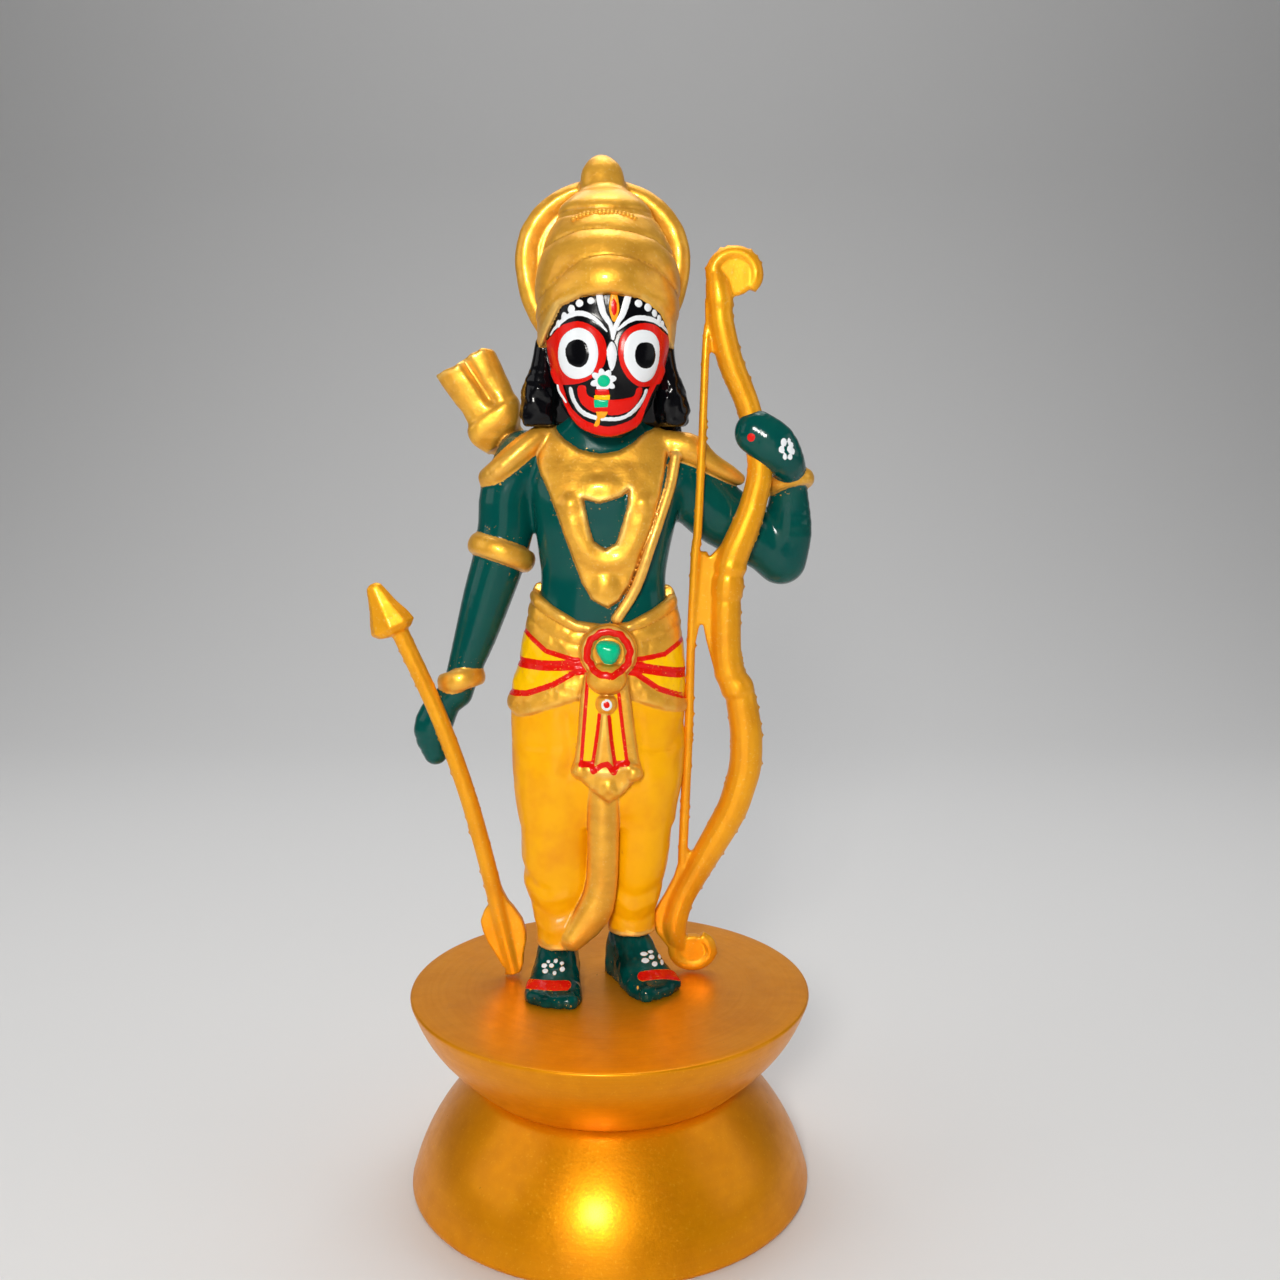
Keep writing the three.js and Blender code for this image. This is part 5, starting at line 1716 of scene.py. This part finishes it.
# %% The shell of the face
FACE_OUTLINE = [
    [-8.8, 118.0], [-9.0, 126.0], [-7.6, 131.5], [-3.5, 133.0], [4.0, 133.0], [8.2, 131.5],
    [9.2, 126.0], [9.0, 118.0], [6.6, 114.6], [3.4, 112.0], [-0.4, 110.8], [-4.2, 112.0], [-7.0, 114.6],
]
EYES = [(-3.9, 122.9, 3.7, 4.3), (4.9, 122.7, 3.4, 4.2)]
EYE_BULGE = 0.55
JAW = [[-7.3, 120.6], [-6.6, 118.7], [-5.85, 116.3], [-4.7, 114.6], [-2.9, 113.1], [0.3, 112.3],
       [3.6, 113.5], [4.85, 115.4], [5.7, 117.4], [6.45, 118.9], [7.2, 120.8]]
face_jaw = laid_on(HEAD, JAW, 0.7, 0.6)
face_plate_base = plate(head, FACE_OUTLINE, 0.06, 0.0)


def face(space):
    whole = melt(face_plate_base(space), face_jaw(space), 0.5)
    part, place = window(space, (-10, -10, 110), (10, 3, 134))
    x, y, z = part
    swell = 0
    for eye_x, eye_z, wide, tall in EYES:
        out = np.hypot((x - eye_x) / wide, (z - eye_z) / tall)
        swell = swell + EYE_BULGE * np.exp(-(np.clip(out, 0, 2) ** 4))
    whole[place] = np.maximum(whole[place] - swell * np.clip(-y / 3, 0, 1), y + 0.8)
    return whole


FACE_BOX = ((-10.0, -10.0, 109.5), (10.0, 0.0, 134.0))
FACE_STEP = 0.15
face_piece, face_points, face_outward = cast("figure_face", face, *FACE_BOX, FACE_STEP)

# %% What is painted on the face
EYE_RED = [
    [[-7.63, 125.67], [-6.58, 126.55], [-5.27, 127.0], [-3.86, 127.15], [-2.47, 126.71], [-1.26, 125.89],
     [-0.35, 124.77], [-0.05, 123.27], [-0.21, 121.78], [-0.82, 120.6], [-2.05, 119.56], [-3.45, 118.92],
     [-4.87, 118.74], [-6.33, 118.8], [-7.6, 119.2], [-9.4, 121.5], [-9.4, 124.9], [-8.46, 125.1]],
    [[1.55, 123.27], [1.85, 124.92], [2.69, 125.98], [3.9, 126.68], [5.27, 126.97], [6.66, 126.78],
     [7.76, 126.03], [9.4, 124.8], [9.6, 122.2], [8.2, 119.6], [6.3, 118.7], [4.97, 118.44],
     [3.9, 118.62], [2.68, 119.72], [1.85, 121.19]],
]
EYE_WHITE = [
    [[-6.8, 123.24], [-6.34, 124.86], [-5.28, 125.87], [-3.87, 126.26], [-2.48, 125.75], [-1.57, 124.62],
     [-1.19, 122.98], [-1.43, 121.34], [-2.2, 120.01], [-3.6, 119.45], [-5.01, 119.57], [-6.14, 120.47],
     [-6.69, 121.71]],
    [[2.3, 122.99], [2.61, 124.49], [3.45, 125.55], [4.81, 126.01], [6.2, 125.77], [7.05, 124.71],
     [7.21, 123.23], [6.98, 121.4], [6.21, 119.7], [4.97, 119.04], [3.75, 119.59], [2.83, 120.77],
     [2.38, 121.8]],
]
PUPILS = [
    [[-5.72, 123.15], [-5.3, 124.2], [-4.2, 124.68], [-3.05, 124.32], [-2.48, 123.14], [-2.56, 121.9],
     [-3.35, 121.03], [-4.42, 121.06], [-5.34, 121.72]],
    [[3.82, 122.72], [4.21, 123.92], [5.12, 124.34], [6.12, 124.19], [6.59, 123.16], [6.51, 121.95],
     [5.89, 121.03], [4.82, 120.89], [4.05, 121.53]],
]
BROWS = [
    [[-7.95, 125.7], [-7.33, 126.45], [-5.39, 127.9], [-3.42, 128.2], [-1.46, 127.3], [0.0, 125.75]],
    [[1.5, 125.95], [2.7, 127.0], [4.1, 127.6], [6.16, 127.5], [7.78, 126.7], [8.6, 125.9]],
]
V_STROKES = [[[-1.2, 131.8], [-1.0, 130.4], [-0.5, 128.2], [0.5, 126.6], [0.82, 124.8]],
             [[3.2, 131.8], [2.87, 130.4], [2.2, 128.2], [1.3, 126.6], [0.82, 124.8]]]
FOREHEAD_DOTS = [
    (-2.17, 129.85, 0.5, 0.45), (-3.75, 129.55, 0.5, 0.52), (-4.9, 128.85, 0.5, 0.58),
    (-5.9, 127.9, 0.42, 0.6), (-6.75, 127.0, 0.35, 0.52), (4.3, 129.55, 0.52, 0.5),
    (5.6, 129.1, 0.5, 0.55), (6.5, 128.4, 0.36, 0.5), (7.15, 127.75, 0.3, 0.5), (7.65, 127.1, 0.24, 0.45),
]
FLAME = [[0.95, 132.2], [0.35, 129.6], [0.4, 128.2], [0.98, 127.0], [1.6, 128.2], [1.62, 129.6]]
FLAME_HEART = [[0.95, 130.2], [0.6, 129.2], [0.7, 128.3], [1.0, 127.8], [1.35, 128.4], [1.35, 129.3]]
NOSE_DROP = [[0.64, 124.4], [1.28, 123.4], [1.24, 121.8], [0.65, 120.4], [0.1, 121.8], [0.0, 123.3]]
MOUTH_RED = [[-4.01, 118.49], [-4.1, 117.52], [-3.65, 116.16], [-2.56, 115.24], [-1.34, 114.78],
             [0.2, 114.55], [1.43, 114.56], [2.97, 115.1], [4.05, 116.18], [4.66, 117.24],
             [4.82, 118.3], [4.05, 118.2], [3.82, 117.43], [3.28, 116.98], [1.75, 116.66],
             [0.22, 116.57], [-1.31, 116.73], [-2.54, 117.11], [-2.92, 117.79], [-2.99, 118.5]]
SMILE = [[-5.36, 118.32], [-5.23, 117.12], [-4.45, 115.58], [-3.37, 114.51], [-1.66, 113.88], [0.19, 113.73],
         [1.73, 113.81], [3.27, 114.52], [4.51, 115.75], [5.28, 117.12], [5.6, 118.1], [5.2, 118.1],
         [4.9, 117.25], [4.2, 116.19], [3.12, 115.03], [1.74, 114.34], [0.2, 114.25], [-1.34, 114.41],
         [-2.88, 114.95], [-3.97, 115.87], [-4.58, 117.08], [-4.9, 118.3]]
CHEEK = [[-7.05, 119.2], [-6.9, 118.1], [-6.3, 117.1], [-5.9, 116.5]]
FLOWER = (-0.46, 119.12)
PETALS = 8
BADGES = [
    ("red", [[-1.65, 118.0], [0.25, 118.0], [0.28, 117.1], [-1.65, 117.05]]),
    ("yellow", [[-1.8, 117.2], [0.38, 117.24], [0.36, 116.6], [-1.84, 116.62]]),
    ("green", [[-1.84, 116.6], [0.15, 116.5], [0.05, 115.62], [-1.8, 115.55]]),
    ("orange", [[-1.6, 115.0], [0.06, 115.0], [-0.05, 114.6], [-0.45, 114.15], [-0.95, 114.1],
                [-1.1, 113.3], [-1.5, 112.95], [-1.95, 113.1], [-1.4, 114.2]]),
]


def petals(x, z):
    """Less than nothing on the petals of the flower."""
    nearest = np.full(len(x), FAR)
    for petal in range(PETALS):
        turn = 2 * math.pi * (petal + 0.3) / PETALS
        reach = 1.75 + 0.12 * math.sin(5 * petal)
        along = (x - FLOWER[0]) * math.cos(turn) + (z - FLOWER[1]) * math.sin(turn)
        across = -(x - FLOWER[0]) * math.sin(turn) + (z - FLOWER[1]) * math.cos(turn)
        off = np.hypot((along - reach * 0.6) / (reach * 0.42), across / 0.44)
        nearest = np.minimum(nearest, (off - 1) * 0.44)
    return np.minimum(nearest, np.hypot(x - FLOWER[0], z - FLOWER[1]) - 0.85)


def paint_face(coat):
    x, y, z = coat.points.T
    jaw_half = 0.34 + 0.34 * np.clip((115.5 - z) / 2.5, 0, 1)
    coat.brush("red", np.maximum(stroke(JAW, x, z) - jaw_half, y + 0.2), 0.03)
    coat.brush("red", outline(loop(MOUTH_RED, 2), x, z), 0.05)
    coat.brush("white", outline(loop(SMILE, 2), x, z), 0.06)
    coat.brush("white", stroke(CHEEK, x, z) - 0.16)
    for eye_red, eye_white, pupil in zip(EYE_RED, EYE_WHITE, PUPILS):
        coat.brush("red", outline(loop(eye_red), x, z), 0.03)
        coat.brush("white", outline(loop(eye_white), x, z), 0.07)
        coat.brush("black", outline(loop(pupil), x, z), 0.12)
    for brow in BROWS:
        middle, half = (brow[0][0] + brow[-1][0]) / 2, (brow[-1][0] - brow[0][0]) / 2
        taper = 0.12 + 0.24 * np.clip(1 - ((x - middle) / half) ** 2, 0, 1)
        coat.brush("white", stroke(brow, x, z) - taper, 0.06)
    for line in V_STROKES:
        coat.brush("white", stroke(line, x, z) - 0.2 - 0.26 * np.clip((z - 125) / 4, 0, 1), 0.07)
    coat.brush("orange", outline(loop(FLAME), x, z), 0.09)
    coat.brush("red", outline(loop(FLAME_HEART), x, z), 0.12)
    coat.brush("white", drops(x, z, FOREHEAD_DOTS), 0.14)
    coat.brush("white", outline(loop(NOSE_DROP), x, z), 0.22, 0.5)
    coat.brush("white", petals(x, z), 0.12)
    coat.brush("green", np.hypot((x - FLOWER[0]) / 0.85, (z - FLOWER[1]) / 0.8) * 0.8 - 0.8, 0.2)
    for paint, badge in BADGES:
        coat.brush(paint, outline(badge, x, z), 0.1)


face_coat = Coat(face_points, "black", "gold", "white", "red", "yellow", "green", "orange")
paint_face(face_coat)
finish_casting(face_piece, face_coat, face, face_outward)

# %% [markdown]
# ## The bow and the arrow
# Both are rods that follow a path, so a curve with its own thickness at every point is the
# natural way: the path and the thickness stay editable, where a modelled tube would not be.
# A rod here is a polyline whose points carry a radius. The tree turns each into a tube. The thin
# ridge a mould leaves along an edge is small nibs set on the path by a seeded scatter.
# The tubes, curls, rings and plates overlap; a voxel remesh then fuses them into one casting.

# %% The rule of a rod
ROD_SIZES = {"Sides": 16, "Spacing": 0.35, "Nib Spacing": 0.8, "Nib Size": 0.24, "Nib Seed": 7}
VOXEL = 0.22


def rod_tree(material):
    tree, sizes = start_tree("rods_with_nibs", ROD_SIZES)
    size = sizes.outputs
    paths = add(tree, "GeometryNodeMeshToCurve", size["Geometry"])
    even = add(tree, "GeometryNodeResampleCurve", paths, None, None, size["Spacing"], mode="LENGTH")
    round_profile = add(tree, "GeometryNodeCurvePrimitiveCircle", size["Sides"])
    radius = add(tree, "GeometryNodeInputNamedAttribute", "radius", data_type="FLOAT")
    tubes = add(tree, "GeometryNodeCurveToMesh", even, round_profile, radius.outputs[0], True)
    spots = add(tree, "GeometryNodeCurveToPoints", paths, None, size["Nib Spacing"], mode="LENGTH")
    way = maths(tree, "SIGN", random_number(tree, -1.0, 1.0, size["Nib Seed"]))
    reach = maths(tree, "MULTIPLY", way, radius.outputs[0])
    across = add(tree, "ShaderNodeVectorMath", spots.outputs[1], (0.0, 1.0, 0.0), operation="CROSS_PRODUCT")
    shift = add(tree, "ShaderNodeVectorMath", across, operation="SCALE")
    join(tree, shift.inputs["Scale"], reach)
    moved = add(tree, "GeometryNodeSetPosition", spots.outputs[0], None, None, shift)
    grain = random_number(tree, 0.35, 1.25, size["Nib Seed"])
    chance = random_number(tree, 0.0, 1.0, maths(tree, "ADD", size["Nib Seed"], 1.0))
    kept = maths(tree, "LESS_THAN", chance, 0.5)
    nib = add(tree, "GeometryNodeMeshIcoSphere", size["Nib Size"], 2)
    nibs = add(tree, "GeometryNodeInstanceOnPoints", moved, kept, nib, None, None, None, grain)
    both = add(tree, "GeometryNodeJoinGeometry")
    tree.links.new(nibs.outputs[0], both.inputs[0])
    tree.links.new(tubes.outputs[0], both.inputs[0])
    end_tree(tree, both, material)
    return tree


def paths_mesh(name, paths):
    """Polylines in millimetres from lists of rows x, y, z, radius."""
    rows = [smooth_rows(path, 5) for path in paths]
    starts = np.cumsum([0] + [len(path) for path in rows])
    edges = [(a, a + 1) for start, path in zip(starts, rows) for a in range(start, start + len(path) - 1)]
    every = np.vstack(rows)
    mesh = bpy.data.meshes.new(name)
    mesh.from_pydata(every[:, :3].tolist(), edges, [])
    radius = mesh.attributes.new("radius", "FLOAT", "POINT")
    radius.data.foreach_set("value", every[:, 3].astype(np.float32))
    return mesh


def add_plate(shape, points, front, back):
    """A flat plate of an outline in x and z, from a front y to a back y."""
    sides = [[shape.verts.new((x, y, z)) for x, z in points] for y in (front, back)]
    shape.faces.new(sides[0])
    shape.faces.new(sides[1][::-1])
    for a in range(len(points)):
        b = (a + 1) % len(points)
        shape.faces.new((sides[0][b], sides[0][a], sides[1][a], sides[1][b]))


def fuse(piece):
    """Joins everything in a piece that overlaps into one closed skin, softened a little."""
    remesh = piece.modifiers.new("fuse", "REMESH")
    remesh.mode = "VOXEL"
    remesh.voxel_size = VOXEL
    smooth = piece.modifiers.new("soften", "SMOOTH")
    smooth.factor = 0.5
    smooth.iterations = 3
    mesh = plain_mesh(piece, piece.name)
    piece.modifiers.clear()
    piece.data = mesh


rod_rule = rod_tree(weapon_gold)
print("rod rule inputs:", [item.name for item in rod_rule.interface.items_tree])

# %% The paths of the bow
BOW_GRIP = (1.5, 110.0)
BOW_LEAN = 2.1
WEB_HALF = 0.6
BOW_LIMB = [
    [15.3, 135.7, 0.8], [15.2, 134.4, 1.3], [15.5, 132.8, 1.75], [15.85, 130.6, 1.95], [15.9, 129.6, 1.8],
    [16.1, 127.6, 1.85], [17.5, 122.2, 1.85], [20.1, 115.9, 1.75],
    [21.9, 108.0, 1.85], [21.1, 102.5, 1.95], [19.9, 98.8, 2.15], [18.5, 95.4, 2.3], [18.0, 93.9, 2.3],
    [17.8, 92.9, 2.45], [17.6, 91.8, 2.15], [17.5, 91.2, 2.35], [17.4, 89.9, 2.4], [17.3, 88.7, 2.3],
    [17.3, 88.1, 2.08], [17.25, 87.4, 2.2], [17.25, 84.4, 2.2], [17.35, 80.6, 2.2], [17.6, 78.4, 2.2],
    [17.85, 77.2, 2.35], [18.2, 76.3, 2.25], [18.9, 75.0, 2.5], [19.25, 74.2, 2.45], [19.4, 73.7, 2.2],
    [19.6, 73.0, 2.3], [20.3, 69.0, 2.4], [20.5, 65.5, 2.45], [20.3, 62.4, 2.45], [19.6, 59.6, 2.4],
    [18.6, 56.4, 2.35], [17.0, 53.2, 2.3], [15.4, 50.3, 2.2], [13.9, 47.6, 2.1], [12.5, 45.0, 2.0],
    [10.9, 41.8, 1.9], [10.0, 38.6, 1.9], [9.9, 36.8, 1.8], [10.2, 35.2, 1.5], [10.9, 33.9, 1.0],
]
STRING = [
    [14.2, 0.0, 127.5, 0.6], [13.85, -0.5, 123.3, 0.6], [13.4, -1.0, 110.0, 0.62], [12.9, -1.0, 98.3, 0.66],
    [12.6, -0.6, 95.0, 0.7], [12.1, 0.0, 82.0, 0.68], [11.8, 0.0, 68.0, 0.7], [11.3, 0.0, 56.0, 0.75],
    [11.0, 0.0, 48.0, 0.75], [10.8, 0.0, 42.0, 0.7],
]
SECOND_STRAND = [[14.0, 0.0, 95.2, 0.5], [13.9, 0.0, 90.0, 0.6], [13.6, 0.0, 84.8, 0.55]]
WEBS = [
    [[13.7, 131.0], [16.4, 131.0], [17.4, 122.6], [13.9, 124.0]],
    [[12.5, 95.8], [14.7, 94.4], [16.2, 96.0], [18.0, 93.0], [18.2, 75.6], [16.6, 74.4], [15.5, 77.6],
     [14.3, 82.0], [13.8, 84.5], [13.3, 84.3], [12.4, 80.0]],
    [[11.2, 50.6], [12.2, 49.4], [14.0, 48.4], [10.6, 38.0], [10.6, 34.4], [8.8, 34.0], [7.0, 36.4],
     [6.4, 38.8], [6.9, 40.2], [8.3, 42.6], [9.7, 45.4]],
]


SCROLL_STEPS = 9
SCROLL_RADIUS = 1.1
DISC_HALF = 0.85


def oval(middle_x, middle_z, reach, tall, degrees):
    """Places in x and z on an oval, at angles in degrees."""
    angles = np.radians(degrees)
    return [[middle_x + reach * math.cos(a), middle_z + reach * tall * math.sin(a)] for a in angles]


def scroll(curl, start, end):
    """The rod that curls at an end of the bow, from one angle to another."""
    rows = [[x, 0, z, SCROLL_RADIUS] for x, z in oval(*curl, np.linspace(start, end, SCROLL_STEPS))]
    rows[-1][3] *= 0.8
    return rows


TOP_SCROLL = (17.85, 134.4, 3.05, 0.97)
FOOT_SCROLL = (12.6, 33.6, 2.75, 0.86)
bow_paths = [
    [[x, 0, z, radius] for x, z, radius in BOW_LIMB], STRING, SECOND_STRAND,
    scroll(TOP_SCROLL, 200, -42), scroll(FOOT_SCROLL, 130, 425),
]
bow_piece = grow("bow", rod_rule, ROD_SIZES, paths_mesh("bow_paths", bow_paths))
shape = opened(bow_piece)
for web in WEBS:
    add_plate(shape, web, -WEB_HALF, WEB_HALF)
for curl in (TOP_SCROLL, FOOT_SCROLL):
    add_plate(shape, oval(*curl, np.arange(0, 360, 20)), -DISC_HALF, DISC_HALF)
turn_outward(shape)
write_back(shape, bow_piece)
fuse(bow_piece)
print("bow paths:", len(bow_paths))

# %% Lean the bow and scale it to metres
to_grip = Matrix.Translation(Vector((0, 0, -BOW_GRIP[1])))
leaned = Matrix.Rotation(math.radians(BOW_LEAN), 4, "X")
from_grip = Matrix.Translation(Vector((0, *BOW_GRIP)))
bow_piece.data.transform(TO_METRES @ from_grip @ leaned @ to_grip)
finish_piece(bow_piece, weapon_gold, "weapon_gold", "bow")

# %% The arrow
SHAFT_RADIUS = 1.3
ARROW = [[-14.8, 2.7, 30.6], [-20.2, 1.7, 54.6], [-24.9, 0.6, 70.0], [-30.0, -0.6, 82.6], [-31.4, -1.0, 85.6]]
FLETCHING = [
    [-18.2, 42.0], [-19.2, 40.6], [-19.8, 39.0], [-19.4, 37.3], [-18.6, 35.4], [-17.6, 33.8], [-16.6, 32.0],
    [-15.6, 30.9], [-13.9, 30.8], [-13.3, 32.2], [-13.2, 34.0], [-12.8, 36.0], [-12.9, 37.6], [-13.4, 39.2],
    [-14.6, 41.0], [-15.6, 42.2], [-16.4, 43.8], [-17.2, 46.6],
]
FLETCHING_Y = (1.7, 3.1)
HEAD_PROFILE = [[0.3, -1.2], [1.2, -1.2], [2.6, -0.9], [3.5, 0], [3.1, 1.4], [2.2, 3.4], [1.5, 5.6],
                [1.2, 6.5], [0.6, 6.9]]
HEAD_PLACE = (-31.4, -1.0, 84.4)
HEAD_TILT = -24.0
HEAD_FLATNESS = 0.62


def add_arrow_head(shape):
    """A flattened eight-sided lozenge, turned along the shaft."""
    turn = Matrix.Rotation(math.radians(HEAD_TILT), 4, "Y")
    rings = []
    for radius, height in HEAD_PROFILE:
        corners = [Vector((radius * math.cos(a), HEAD_FLATNESS * radius * math.sin(a), height))
                   for a in np.arange(8) * math.pi / 4]
        rings.append([shape.verts.new(Vector(HEAD_PLACE) + turn @ corner) for corner in corners])
    for low, high in zip(rings, rings[1:]):
        for a in range(8):
            shape.faces.new((low[a], low[a - 7], high[a - 7], high[a]))
    shape.faces.new(rings[0][::-1])
    shape.faces.new(rings[-1])


arrow_paths = [[[*place, SHAFT_RADIUS] for place in ARROW]]
arrow_piece = grow("arrow", rod_rule, ROD_SIZES, paths_mesh("arrow_paths", arrow_paths))
shape = opened(arrow_piece)
add_plate(shape, FLETCHING, *FLETCHING_Y)
add_arrow_head(shape)
turn_outward(shape)
write_back(shape, arrow_piece)
fuse(arrow_piece)
cut = opened(arrow_piece)
bmesh.ops.bisect_plane(cut, geom=[*cut.verts, *cut.edges, *cut.faces], plane_co=(0, 0, PLINTH_TOP),
                       plane_no=(0, 0, -1), clear_outer=True)
bmesh.ops.holes_fill(cut, edges=[edge for edge in cut.edges if edge.is_boundary])
write_back(cut, arrow_piece)
arrow_piece.data.transform(TO_METRES)
finish_piece(arrow_piece, weapon_gold, "weapon_gold", "arrow")

# %% [markdown]
# ## The backdrop
# The figure stands on a pale paper sweep: a floor that bends up into a wall, so that no line of
# the horizon crosses the picture. It is stage, not part of the object.

# %% A pale sweep behind and below
SWEEP_HALF = 4.0
SWEEP_FRONT = -5.0
SWEEP_BACK = 0.75
SWEEP_BEND = 0.45
SWEEP_TOP = 1.9


def sweep_line():
    """The sweep in side view: the floor, a quarter circle, the wall."""
    bend = [(SWEEP_BACK - SWEEP_BEND * (1 - math.sin(a)), SWEEP_BEND * (1 - math.cos(a)))
            for a in np.linspace(0, math.pi / 2, 25)]
    return [(SWEEP_FRONT, 0.0), *bend, (SWEEP_BACK, SWEEP_TOP)]


line = sweep_line()
sweep_mesh = bpy.data.meshes.new("sweep")
sides = [(x, y, z) for y, z in line for x in (-SWEEP_HALF, SWEEP_HALF)]
sweep_mesh.from_pydata(sides, [], [(2 * i, 2 * i + 1, 2 * i + 3, 2 * i + 2) for i in range(len(line) - 1)])
sweep_mesh.shade_smooth()
sweep = bpy.data.objects.new("sweep", sweep_mesh)
bpy.context.scene.collection.objects.link(sweep)
sweep_paint, sweep_tree, sweep_shader = new_material("pale_paper")
fill(sweep_tree, sweep_shader, Base_Color=(0.72, 0.72, 0.72, 1.0), Roughness=0.8)
sweep.data.materials.append(sweep_paint)
print("sweep points:", len(line))
